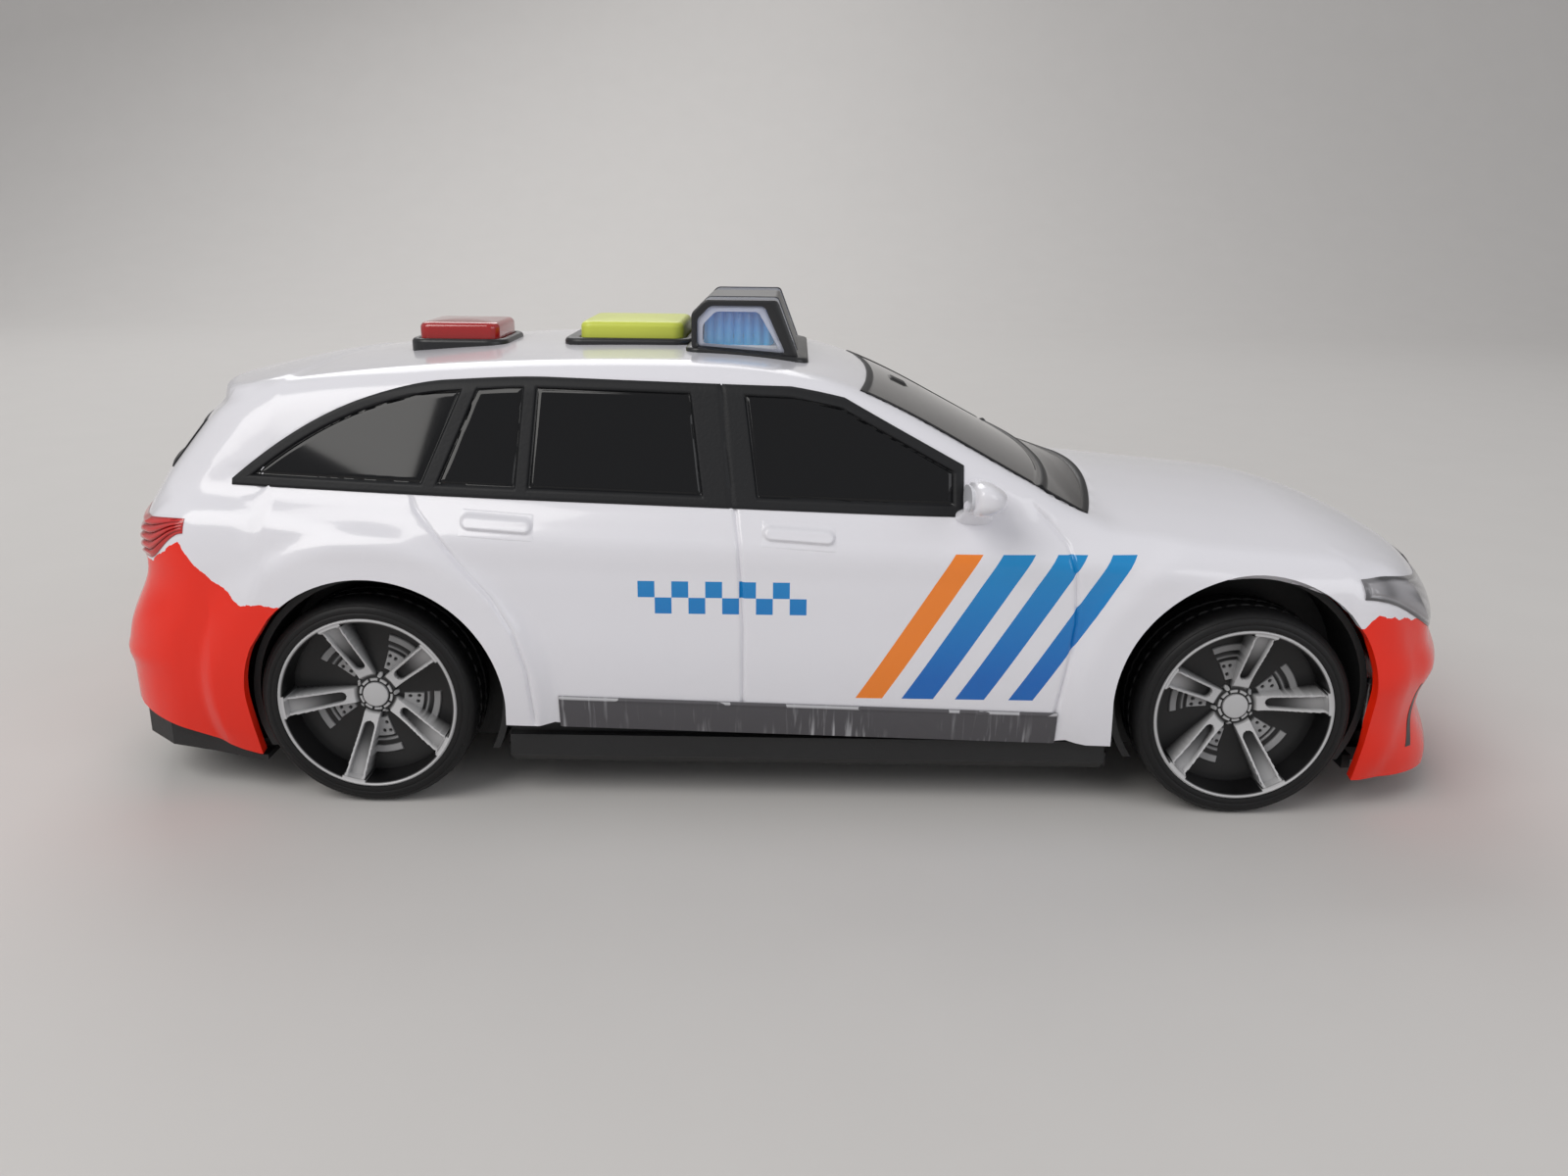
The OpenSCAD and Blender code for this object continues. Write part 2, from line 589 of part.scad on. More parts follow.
// Outline of the bar seen from the side, drawn in by a given amount
function bar_outline(inset) = let (
    low = console_top + (inset > 0 ? lightbar_base : 0),
    high = console_top + lightbar_height - inset,
    back = lightbar_back + inset,
    front = lightbar_back + lightbar_depth - inset * 1.1)
    [[back, low], [back, high - 2.8], [back + 2.8, high], [front - 4.4, high], [front - (low - console_top) * 0.48, low]];
module bar_slice(from, to, inset) translate([0, to, 0]) rotate([90, 0, 0])
    linear_extrude(to - from) polygon(bar_outline(inset));
module lightbar_housing() {
    reach = lightbar_reach;
    color("#17181b") difference() {
        union() {
            bar_slice(-lightbar_mid, lightbar_mid, 0);
            for (y = [-reach, reach - lightbar_ring]) difference() {
                bar_slice(y, y + lightbar_ring, 0);
                bar_slice(y - 1, y + lightbar_ring + 1, lightbar_frame);
            }
            translate([lightbar_back, -reach, console_top]) cube([lightbar_depth, 2 * reach, lightbar_base]);
        }
        translate([lightbar_back + lightbar_depth / 2 - channel[0] / 2, -reach, console_top + lightbar_base])
            cube([channel[0], 2 * reach, channel[1]]);
        translate([lightbar_back + lightbar_depth / 2, 0, console_top - 1]) cylinder(d = 5, h = 4);
    }
}
module lightbar_cover_left() {
    inner = lightbar_mid + 0.1;
    outer = lightbar_reach - lightbar_ring - 0.1;
    color("#e6eef2", 0.4) difference() {
        union() {
            bar_slice(inner, outer, 0.1);
            bar_slice(outer - 1, lightbar_reach - 0.4, lightbar_frame + 0.1);
        }
        bar_slice(inner - 1, outer - cover_wall + 0.6, lightbar_frame + cover_wall - 0.3);
        translate([lightbar_back - 1, inner - 1, console_top - 1])
            cube([lightbar_depth + 2, lightbar_reach, lightbar_base + 1.05]);
    }
}
module lightbar_cover_right() left_side() lightbar_cover_left();

// Blue lens with upright ribs on its outer face, hollow for the lamp
lens_ribs = 7;
lens_inset = 2.6;
led_diameter = 5;
led_y = 17.5;
lightbar_board_size = [8, 44, 0.8];
led_foot = console_top + lightbar_base + 0.05 + lightbar_board_size[2];
module lightbar_lens_left() {
    low = led_foot + 0.05;
    high = console_top + lightbar_height - lens_inset;
    back = lightbar_back + lens_inset + 2.3;
    front = lightbar_back + lightbar_depth - lens_inset - 4.5;
    y_in = lightbar_mid + 1.4;
    y_out = lightbar_reach - lightbar_ring - cover_wall - 1;
    color("#1e6fd0", 0.7) difference() {
        union() {
            translate([back, y_in, low]) cube([front - back, y_out - y_in, high - low]);
            for (i = [0:lens_ribs - 1])
                translate([back + (front - back) * (i + 0.5) / lens_ribs, y_out, low])
                    cylinder(d = (front - back) / lens_ribs * 0.8, h = high - low, $fn = 16);
        }
        translate([lightbar_back + lightbar_depth / 2, led_y, low - 1])
            cylinder(d = led_diameter + 0.4, h = high - low - 0.2);
    }
}
module lightbar_lens_right() left_side() lightbar_lens_left();
module lightbar_leds() color("#dfe8f5", 0.8) for (s = [-1, 1])
    translate([lightbar_back + lightbar_depth / 2, s * led_y, led_foot])
        cylinder(d = led_diameter, h = 3.2);
module lightbar_board() color("#1f6b3a")
    translate([lightbar_back + lightbar_depth / 2 - lightbar_board_size[0] / 2, -lightbar_board_size[1] / 2,
        console_top + lightbar_base + 0.05]) cube(lightbar_board_size);

// Circuit board with two press switches under the button stems
switch_size = [6, 6];
module circuit_board() color("#1f6b3a") difference() {
    translate([board_x - board_size[0] / 2, -board_size[1] / 2, board_top - board_size[2]]) cube(board_size);
    for (p = board_places) translate([p[0], p[1], board_top - board_size[2] - 1])
        cylinder(d = small_bore + 0.4, h = board_size[2] + 2);
}
module button_switches() color("#222226") for (b = [[siren_x, console_top], [horn_x, horn_bezel_top]]) {
    stem_end = b[1] - well_depth - well_floor - barb_height - 0.1;
    plunger_top = stem_end - button_travel - 0.3;
    translate([b[0] - switch_size[0] / 2, -switch_size[1] / 2, board_top])
        cube([switch_size[0], switch_size[1], plunger_top - 1 - board_top]);
    translate([b[0], 0, plunger_top - 1.5]) cylinder(d = 3.4, h = 1.5);
}

// Chassis tray: floor inside the body, sills, rear lip, wheel wells, battery bay and bosses
floor_top = chassis_clearance + floor_thickness;
well_inner = wheel_face - tyre_width - 4;
well_outer = half_width - 5;
well_plate = 2;
liner = 1.4;
liner_radius = arch_radius - 0.3;
axle_gap = 0.16;
sill_out = half_width - 4;
bay_x = 1;
bay_wall = 1.6;
cell_pitch = cell_diameter + 0.8;
bay = [cell_length + 5, cells * cell_pitch + 1.2];
bay_height = cell_diameter + 1.2;
door_lap = 2;
door_thickness = 2;
door_gap = 0.3;
door_tab = [10, 12];
door = [bay[0] + 2 * door_lap, bay[1] + 2 * door_lap];
door_screw_x = bay_x + door[0] / 2 + door_tab[0] / 2;
door_screw = 2.4;
speaker_x = bay_x - bay[0] / 2 - bay_wall - speaker_diameter / 2 - 8;
speaker_post_y = speaker_diameter / 2 + 4.5;
switch_x = door_screw_x + 26;
switch_body = [18, 8, 6];
boss_top = post_foot - 0.2;
boss_diameter = 8;
screw_diameter = 2.8;
screw_head = [5.6, 2];

// Plan of the hull at a height, drawn out or in by a level
function plan(level, z, step = 10) = let (
    ends = [for (e = [1, -1]) [for (a = [-90:step:90])
        let (p = on_hull([[e * spine, 0, z], [e * cos(a), e * sin(a), 0]], level)) [p[0], p[1]]]])
    concat(ends[0], ends[1]);

module wheel_well(arch) {
    difference() {
        translate([arch[0], -well_inner + well_plate, arch[1]]) rotate([90, 0, 0])
            cylinder(r = liner_radius, h = well_outer - well_inner + well_plate);
        translate([arch[0], -well_inner, arch[1]]) rotate([90, 0, 0])
            cylinder(r = liner_radius - liner, h = well_outer);
        translate([arch[0] - body_width, -body_width, -body_width])
            cube([2 * body_width, body_width, body_width + chassis_clearance]);
        translate([arch[0] - liner_radius, -body_width, chassis_clearance - 1])
            cube([2 * liner_radius, body_width - well_inner, floor_top - chassis_clearance + 1]);
    }
}
module sill_box() {
    back = rear_arch[0] + liner_radius;
    front = front_arch[0] - liner_radius;
    lip_z = sill_height - sill_fall * front - 0.6;
    inner = sill_out - 4;
    translate([back, 0, 0]) rotate([90, 0, 90]) linear_extrude(front - back)
        polygon([[-inner + 2, chassis_clearance], [-sill_out + 3, chassis_clearance],
            [-sill_out, chassis_clearance + 2.5], [-sill_out, lip_z], [-sill_out + 2.4, lip_z],
            [-sill_out + 2.4, lip_z + 6], [-inner, lip_z + 6], [-inner, floor_top], [-inner + 2, floor_top]]);
}
module rear_lip() {
    start = rear_arch[0] - arch_radius;
    rise = 0.33 * (start - tail_end);
    intersection() {
        linear_extrude(50) polygon(plan(-1, 12));
        rotate([90, 0, 0]) linear_extrude(2 * body_width, center = true)
            polygon([[start + 3, chassis_clearance], [start, chassis_clearance],
                [tail_end + 8, chassis_clearance + 2.5], [tail_end - 1, chassis_clearance + 4],
                [tail_end - 1, rear_clearance - 0.3 + rise], [start, rear_clearance - 0.3],
                [start + 3, rear_clearance - 0.3]]);
    }
}
floor_gap = 2.2;
floor_nose_half = 43;
module chassis() {
    color("#1b1c1e") difference() {
        union() {
            translate([0, 0, chassis_clearance]) linear_extrude(floor_thickness)
                polygon(plan(-wall - floor_gap, chassis_clearance + 1));
            rear_lip();
            for (s = [0, 1]) mirror([0, s, 0]) {
                for (a = arches) wheel_well(a);
                sill_box();
            }
            translate([bay_x - bay[0] / 2 - bay_wall, -bay[1] / 2 - bay_wall, chassis_clearance])
                cube([bay[0] + 2 * bay_wall, bay[1] + 2 * bay_wall, bay_height + floor_thickness + bay_wall]);
            for (p = post_places) translate([p[0], p[1], chassis_clearance])
                cylinder(d = boss_diameter, h = boss_top - chassis_clearance);
            translate([door_screw_x, 0, chassis_clearance]) cylinder(d = 6, h = 13);
            for (s = [-1, 1]) translate([speaker_x, s * speaker_post_y, floor_top - 1]) cylinder(d = 5, h = 4);
            for (s = [-1, 1]) translate([switch_x + s * (switch_body[0] / 2 + 1.1) - 1, -5, floor_top - 1])
                cube([2, 10, 6]);
        }
        for (s = [0, 1]) mirror([0, s, 0]) for (a = arches)
            translate([a[0] - liner_radius + liner, -body_width, -1])
                cube([2 * (liner_radius - liner), body_width - well_inner, floor_top + 1.5]);
        for (x = [rear_axle_x, front_axle_x]) translate([x, 0, tyre_radius]) rotate([90, 0, 0])
            cylinder(d = axle_diameter + axle_gap, h = body_width, center = true);
        for (s = [0, 1]) mirror([0, s, 0])
            translate([front_arch[0] + liner_radius + 0.4, -body_width, chassis_clearance - 1])
            cube([40, body_width - floor_nose_half, floor_thickness + 1.5]);
        translate([bay_x - bay[0] / 2, -bay[1] / 2, chassis_clearance - 1])
            cube([bay[0], bay[1], bay_height + floor_thickness + 1]);
        door_plan(door_gap, chassis_clearance - 1, door_thickness + 1.2);
        translate([door_screw_x, 0, chassis_clearance]) cylinder(d = door_screw + 0.1, h = 11);
        for (p = post_places) {
            translate([p[0], p[1], boss_top]) cylinder(d = boss_diameter + 0.6, h = 20);
            translate([p[0], p[1], chassis_clearance - 1]) cylinder(d = screw_diameter + 0.4, h = 20);
            translate([p[0], p[1], chassis_clearance - 1]) cylinder(d = screw_head[0] + 0.6, h = screw_head[1] + 1.2);
        }
        for (r = [0, 4.5, 9], a = [0:360 / max(1, r * 1.34):359]) translate([speaker_x + r * cos(a), r * sin(a), 0])
            cylinder(d = 2, h = 20, $fn = 16);
        for (s = [-1, 1]) translate([speaker_x, s * speaker_post_y, floor_top - 1]) cylinder(d = small_bore, h = 5);
        translate([switch_x - switch_travel / 2 - 2, -1.8, 0]) cube([switch_travel + 4, 3.6, 20]);
    }
}

// Plan of the battery door with its screw tab
module door_plan(gap, low, height) {
    translate([bay_x - door[0] / 2 - gap, -door[1] / 2 - gap, low]) cube([door[0] + 2 * gap, door[1] + 2 * gap, height]);
    translate([bay_x + door[0] / 2 - 1, -door_tab[1] / 2 - gap, low])
        cube([door_tab[0] + 1 + gap, door_tab[1] + 2 * gap, height]);
}
module battery_door() color("#202124") difference() {
    union() {
        door_plan(0, chassis_clearance, door_thickness);
    }
    translate([door_screw_x, 0, chassis_clearance - 1]) cylinder(d = door_screw + 0.4, h = 10);
    translate([door_screw_x, 0, chassis_clearance - 1]) cylinder(d = 5, h = 2);
    for (i = [0:4]) translate([bay_x - door[0] / 2 + 6 + 3 * i, -8, chassis_clearance - 0.5])
        cube([1.2, 16, 1.1]);
}
module battery_door_screw() color("silver") screw(door_screw_x, 0, chassis_clearance + 0.95, door_screw, 4.4, 0.9, 9);

// Pan head screw driven upwards, with a cross slot in its head
module screw(x, y, seat, shank, head, head_height, length) translate([x, y, seat]) {
    difference() {
        translate([0, 0, -head_height]) cylinder(d = head, h = head_height);
        for (a = [0, 90]) rotate(a) translate([-head * 0.32, -0.3, -head_height - 1])
            cube([head * 0.64, 0.6, 1.5]);
    }
    cylinder(d = shank, h = length - 1);
    translate([0, 0, length - 1]) cylinder(d1 = shank, d2 = shank / 3, h = 1);
}
module body_screws() color("silver") for (p = post_places)
    screw(p[0], p[1], chassis_clearance + screw_head[1] + 0.2, screw_diameter, screw_head[0], screw_head[1] * 0.8, 15);
retainer_thickness = 1.6;
module small_screws() color("silver") {
    for (p = board_places)
        screw(p[0], p[1], board_top - board_size[2] - 0.05, small_bore - 0.3, 3.8, 1.2, 6);
    for (s = [-1, 1]) translate([speaker_x, s * speaker_post_y, floor_top + 3 + retainer_thickness + 0.1])
        rotate([180, 0, 0]) screw(0, 0, 0, small_bore - 0.1, 3.8, 1.2, 5);
}

// Speaker face down over the sound holes, and the strap ring that holds it
module speaker() color("#3a3a3e") translate([speaker_x, 0, floor_top + 0.05]) {
    cylinder(d = speaker_diameter, h = 2.8);
    cylinder(d1 = speaker_diameter - 5, d2 = speaker_diameter * 0.55, h = 5.2);
    cylinder(d = speaker_diameter * 0.5, h = 8.5);
}
module speaker_retainer() color("#d8d8da") translate([speaker_x, 0, floor_top + 3.05]) difference() {
    union() {
        cylinder(d = speaker_diameter + 1, h = retainer_thickness);
        translate([-3, -speaker_post_y - 3, 0]) cube([6, 2 * speaker_post_y + 6, retainer_thickness]);
    }
    translate([0, 0, -1]) cylinder(d = speaker_diameter - 3, h = retainer_thickness + 2);
    for (s = [-1, 1]) translate([0, s * speaker_post_y, -1]) cylinder(d = small_bore + 0.2, h = retainer_thickness + 2);
}

// Battery cells side by side, resting on the door, between sheet contacts
cell_z = chassis_clearance + door_thickness + 0.3 + cell_diameter / 2;
function cell_y(i) = (i - (cells - 1) / 2) * cell_pitch;
module battery_cells() color("#5a6a78") for (i = [0:cells - 1]) {
    turn = i % 2 == 0 ? 1 : -1;
    translate([bay_x, cell_y(i), cell_z]) rotate([0, 90 * turn, 0]) {
        translate([0, 0, -cell_length / 2]) cylinder(d = cell_diameter, h = cell_length - 1.2);
        translate([0, 0, cell_length / 2 - 1.3]) cylinder(d = 5.4, h = 1.3);
    }
}
contact = 0.6;
module battery_contacts() color("silver") for (i = [0:cells - 1], s = [-1, 1]) {
    gap = (bay[0] - cell_length) / 2;
    face = bay_x + s * (bay[0] / 2 - contact / 2 - 0.05);
    translate([face - contact / 2, cell_y(i) - 4.5, cell_z - 5]) cube([contact, 9, 10]);
    translate([bay_x + s * (cell_length / 2 + 0.1), cell_y(i), cell_z]) rotate([0, s * 90, 0])
        cylinder(d1 = 4, d2 = 6, h = gap - contact / 2 - 0.15);
}

// Slide switch on the chassis floor; its knob shows under the car
knob = [4, 4];
module power_switch() {
    run = knob[0] + switch_travel + 0.8;
    color("#2b2b2e") translate([switch_x, 0, floor_top + 0.05]) difference() {
        translate([-switch_body[0] / 2, -switch_body[1] / 2, 0]) cube(switch_body);
        translate([-run / 2, -2.4, 1]) cube([run, 4.8, switch_body[2] - 2]);
        translate([-switch_travel / 2 - 1.9, -1.6, -1]) cube([switch_travel + 3.8, 3.2, 3]);
    }
}
module power_switch_knob() {
    color("#d23a2e") translate([switch_x - switch_travel / 2, 0, 0]) {
        translate([-knob[0] / 2, -2.1, floor_top + 1.35]) cube([knob[0], 4.2, 3]);
        translate([-1.5, -1.3, chassis_clearance + 0.6]) cube([3, 2.6, floor_thickness + 1.2]);
        for (i = [-1:1]) translate([i - 0.25, -1.3, chassis_clearance + 0.1]) cube([0.5, 2.6, 0.6]);
    }
}

// Axles run in the bores of the wheel wells; the rims are pressed on their ends
hub_recess = 6;
axle_end = wheel_face - hub_recess - 1.2;
module axle(x) color("silver") translate([x, axle_end, tyre_radius]) rotate([90, 0, 0])
    cylinder(d = axle_diameter, h = 2 * axle_end);
module front_axle() axle(front_axle_x);
module rear_axle() axle(rear_axle_x);

// Places a wheel piece that is drawn with its outer face at z = 0, looking outwards
module on_wheel(x, side) translate([x, side * wheel_face, tyre_radius]) rotate([-side * 90, 0, 0]) children();

module tyre() color("#1a1a1b") rotate_extrude($fn = 96)
    polygon([[rim_radius, -tyre_width], [rim_radius + 1.6, -tyre_width], [tyre_radius - 0.4, -tyre_width + 2],
        [tyre_radius, -tyre_width + 3], [tyre_radius, -2.6], [tyre_radius - 0.5, -1.4],
        [tyre_radius - 1.8, -0.4], [rim_radius + 1, 0], [rim_radius, -0.4]]);
module tyre_front_right() on_wheel(front_axle_x, -1) tyre();
module tyre_front_left() on_wheel(front_axle_x, 1) tyre();
module tyre_rear_right() on_wheel(rear_axle_x, -1) tyre();
module tyre_rear_left() on_wheel(rear_axle_x, 1) tyre();

// Rim: outer ring, dished back with a brake disc, hub and forked spokes that lean back to the hub
rim_ring = 1.4;
hub_radius = 4.2;
spoke_root = 3;
spoke_half = [1.7, 3.1];
spoke_slot = [0.5, 1.7];
module rim(turn) {
    tip = rim_radius - rim_ring / 2;
    lean = atan((hub_recess - 1.4) / (tip - spoke_root));
    color("#b9babd") difference() {
        union() {
            rotate_extrude($fn = 96) polygon([[rim_radius - rim_ring, 0], [rim_radius - 0.4, 0], [rim_radius, -0.4],
                [rim_radius, -tyre_width], [rim_radius - rim_ring, -tyre_width]]);
            translate([0, 0, -hub_recess - 3.5]) cylinder(r = rim_radius - rim_ring / 2, h = 1.2);
            translate([0, 0, -hub_recess - 2.5]) cylinder(r = rim_radius * 0.62, h = 1);
            translate([0, 0, -tyre_width]) cylinder(r = hub_radius, h = tyre_width - hub_recess - 0.6);
            translate([0, 0, -hub_recess - 1]) cylinder(r = 2.7, h = 1);
            for (i = [0:spokes - 1]) rotate(turn + 360 * i / spokes)
                translate([spoke_root, 0, -hub_recess - 1.2]) rotate([0, -lean, 0]) linear_extrude(1.6)
                    difference() {
                        polygon([[0, -spoke_half[0]], [(tip - spoke_root) / cos(lean), -spoke_half[1]],
                            [(tip - spoke_root) / cos(lean), spoke_half[1]], [0, spoke_half[0]]]);
                        polygon([[4, -spoke_slot[0]], [(tip - spoke_root) / cos(lean) - 1.6, -spoke_slot[1]],
                            [(tip - spoke_root) / cos(lean) - 1.6, spoke_slot[1]], [4, spoke_slot[0]]]);
                    }
        }
        translate([0, 0, -tyre_width - 1]) cylinder(d = axle_diameter, h = tyre_width - hub_recess - 1.2 + 1);
    }
}
front_turn = 9;
rear_turn = 40;
module rim_front_right() on_wheel(front_axle_x, -1) rim(front_turn);
module rim_front_left() on_wheel(front_axle_x, 1) rim(-front_turn);
module rim_rear_right() on_wheel(rear_axle_x, -1) rim(rear_turn);
module rim_rear_left() on_wheel(rear_axle_x, 1) rim(-rear_turn);

body_shell();
chassis();
windscreen();
side_window_right();
side_window_left();
rear_window();
headlamp_right();
headlamp_left();
taillight_right();
taillight_left();
grille();
sill_trim_right();
sill_trim_left();
mirror_right();
mirror_left();
roof_console();
horn_button_bezel();
siren_button();
siren_button_spring();
horn_button();
horn_button_spring();
lightbar_housing();
lightbar_cover_right();
lightbar_cover_left();
lightbar_lens_right();
lightbar_lens_left();
lightbar_leds();
lightbar_board();
circuit_board();
button_switches();
speaker();
speaker_retainer();
battery_cells();
battery_contacts();
battery_door();
battery_door_screw();
power_switch();
power_switch_knob();
front_axle();
rear_axle();
tyre_front_right();
tyre_front_left();
tyre_rear_right();
tyre_rear_left();
rim_front_right();
rim_front_left();
rim_rear_right();
rim_rear_left();
body_screws();
small_screws();
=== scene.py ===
import json

import bpy
import bmesh
import numpy as np
from mathutils import Matrix


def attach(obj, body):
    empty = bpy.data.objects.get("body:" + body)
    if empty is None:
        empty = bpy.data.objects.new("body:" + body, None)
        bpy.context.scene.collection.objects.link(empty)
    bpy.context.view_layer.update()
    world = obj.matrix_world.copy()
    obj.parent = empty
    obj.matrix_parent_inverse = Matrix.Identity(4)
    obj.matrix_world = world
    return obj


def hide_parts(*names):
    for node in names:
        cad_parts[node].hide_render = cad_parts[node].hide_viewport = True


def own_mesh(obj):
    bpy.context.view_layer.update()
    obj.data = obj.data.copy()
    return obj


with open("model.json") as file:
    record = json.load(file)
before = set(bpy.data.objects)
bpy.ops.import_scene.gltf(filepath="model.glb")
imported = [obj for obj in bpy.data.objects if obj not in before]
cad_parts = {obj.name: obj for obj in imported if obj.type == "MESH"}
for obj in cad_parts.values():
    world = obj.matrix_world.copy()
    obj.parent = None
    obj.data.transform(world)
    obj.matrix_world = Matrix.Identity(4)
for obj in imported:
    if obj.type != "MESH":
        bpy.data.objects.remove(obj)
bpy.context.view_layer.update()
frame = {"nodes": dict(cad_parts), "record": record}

# Body shape
# The body is a blend of simple bounds: leaning sides, bonnet, roof, glass planes, nose and tail.
# All sizes in this file are millimetres, as on the drawing; meshes are written in metres.
MM = 0.001
WELD_GAP = 0.002
HALF_LENGTH = 150.0
HALF_WIDTH = 56.0
ROOF_HEIGHT = 93.2
SILL_HEIGHT = 17.2
SILL_FALL = 0.022
REAR_ARCH = (-85.0, 23.0)
FRONT_ARCH = (94.3, 26.0)
ARCH_RADIUS = 27.2
SPINE = 105.0
SPINE_Z = 38.0
BELT_HEIGHT = 65.0
CABIN_LEAN = 0.37
SCREEN_SLOPE = np.radians(27.7)
TAILGATE_SLOPE = np.radians(48.7)


def ease(t, a, b):
    """Smooth step from 0 at a to 1 at b."""
    s = np.clip((t - a) / (b - a), 0.0, 1.0)
    return s * s * (3.0 - 2.0 * s)


def over(t, a):
    """How far t is past a, or nothing."""
    return np.maximum(0.0, t - a)


def bell(t, a, w):
    """Bell of width w about a."""
    return np.exp(-(((t - a) / w) ** 2))


def both(a, b, r):
    """Inside both of two bounds, with an edge of radius r."""
    return np.minimum(-r, np.maximum(a, b)) + np.hypot(np.maximum(r + a, 0), np.maximum(r + b, 0))


def either(a, b, r):
    """Inside either of two bounds, with an inner corner of radius r."""
    return np.maximum(r, np.minimum(a, b)) - np.hypot(np.maximum(r - a, 0), np.maximum(r - b, 0))


def side_half(x, z):
    """Half width of the doors: tucked in at belt and sill, with a crease and the arch flares."""
    level = z + SILL_FALL * x
    half = HALF_WIDTH - 2.4 * (over(np.abs(x), 60) / 70) ** 2
    half = half - 4.4 * (over(level, 48) / 17) ** 2 - 2.6 * (over(38, level) / 22) ** 2
    crease = ease(level, 50, 57) * (1 - ease(level, 57, 60)) * ease(x, -112, -90) * (1 - ease(x, 66, 90))
    half = half + 0.9 * crease
    for arch in (REAR_ARCH, FRONT_ARCH):
        away = np.hypot(x - arch[0], z - arch[1])
        half = half + 1.7 * (1 - ease(away, ARCH_RADIUS + 6.4, ARCH_RADIUS + 10.6))
    return half


def tail_x(ay, z):
    """Rear face: swept in plan, with the bumper ledge and the leaning tailgate."""
    sweep = 6.5 * (ay / 38) ** 2.2
    foot = -HALF_LENGTH + 0.9 + sweep
    return foot + 5.8 * ease(z, 33, 50) + 1.6 * ease(z, 54, 66) - 0.9 * bell(z, 30.5, 2.2)


def nose_x(ay, z):
    """Front face: swept in plan, tucked under the bumper edge."""
    sweep = 8.0 * (ay / 38) ** 2.2
    return HALF_LENGTH - sweep - 3.6 * ease(z, 9, 21) + 2.6 * bell(z, 30.5, 4.5) - 0.6 * ease(z, 36, 50)


def bonnet_z(x, ay):
    """Top of the bonnet: falls to the nose and crowns across."""
    fall = 0.09 * over(x, 62) + 0.008 * over(x, HALF_LENGTH - 42) ** 2
    return 65.2 - fall - (0.6 + 4.4 * ease(x, 20, 60)) * (ay / 50) ** 2


def roof_z(x, ay):
    """Roof curve along the car, with a slight crown across it."""
    along = 7.4 * (over(-25, x) / 95) ** 2.4 + 5.2 * (over(x, -25) / 42) ** 2.2
    return ROOF_HEIGHT - along - 1.4 * (ay / 40) ** 2


def cabin_half(x, z):
    """Half width of the cabin: sides lean in, and taper to both ends."""
    taper = 5.5 * (over(-40, x) / 90) ** 2
    return 51.3 - CABIN_LEAN * (z - BELT_HEIGHT) - taper - 3.0 * (over(x, 10) / 50) ** 2


def windscreen_z(x, ay):
    """Height of the windscreen plane, bowed across the car."""
    return 64.5 + (62.7 - 4.8 * (ay / 44) ** 2 - x) * np.tan(SCREEN_SLOPE)


def hull(p):
    """Signed distance, about, from a point to the body's skin."""
    x, ay, z = p[..., 0], np.abs(p[..., 1]), p[..., 2]
    tail = (tail_x(ay, z) - x) * 0.93
    lower = both(ay - side_half(x, z), (z - bonnet_z(x, ay)) * 0.98, 5)
    lower = both(both(lower, (x - nose_x(ay, z)) * 0.93, 9), tail, 9)
    roof = roof_z(x, ay)
    cabin = both((ay - cabin_half(x, z)) / np.hypot(1, CABIN_LEAN), z - roof, 5)
    cabin = both(cabin, (z - windscreen_z(x, ay)) * np.cos(SCREEN_SLOPE), 3)
    behind = -x - 141.5 + 10 * (ay / 40) ** 2
    behind = behind * np.sin(TAILGATE_SLOPE) + (z - BELT_HEIGHT) * np.cos(TAILGATE_SLOPE)
    cabin = both(cabin, behind, 6)
    spoiler = both(ay - 37, -128 + 13 * (ay / 38) ** 2 + 0.27 * (84 - z) - x, 2.5)
    spoiler = both(both(both(z - roof, roof - 12 - z, 1), spoiler, 2.4), x + 104, 1)
    cabin = np.where(x < -90, either(cabin, spoiler, 1.5), cabin)
    cabin = both(both(cabin, tail, 5), 58 - z, 1)
    return either(lower, cabin, 2.5)


def to_skin(start, ray, level=0.0, reach=140.0):
    """Points where rays that start inside the body meet the skin, or a level above it, by halving."""
    start, ray = np.broadcast_arrays(np.asarray(start, float), np.asarray(ray, float))
    low = np.zeros(start.shape[:-1])
    high = low + reach
    for _ in range(24):
        mid = (low + high) / 2
        inside = hull(start + mid[..., None] * ray) < level
        low = np.where(inside, mid, low)
        high = np.where(inside, high, mid)
    return start + ((low + high) / 2)[..., None] * ray


def lower_edge(x):
    """Height of the moulding's lower edge: sills, front bumper, and the rising rear bumper."""
    mid = SILL_HEIGHT - SILL_FALL * x
    rear = 9.4 + 0.33 * over(REAR_ARCH[0] - ARCH_RADIUS, x)
    to_front = ease(x, FRONT_ARCH[0] + 18, FRONT_ARCH[0] + 22)
    to_rear = 1 - ease(x, REAR_ARCH[0] - 23, REAR_ARCH[0] - 19)
    return mid + (7.0 - mid) * to_front + (rear - mid) * to_rear


def cell_corners(grid):
    """The values of a grid at the four corners of each of its cells."""
    return grid[:-1, :-1], grid[1:, :-1], grid[1:, 1:], grid[:-1, 1:]


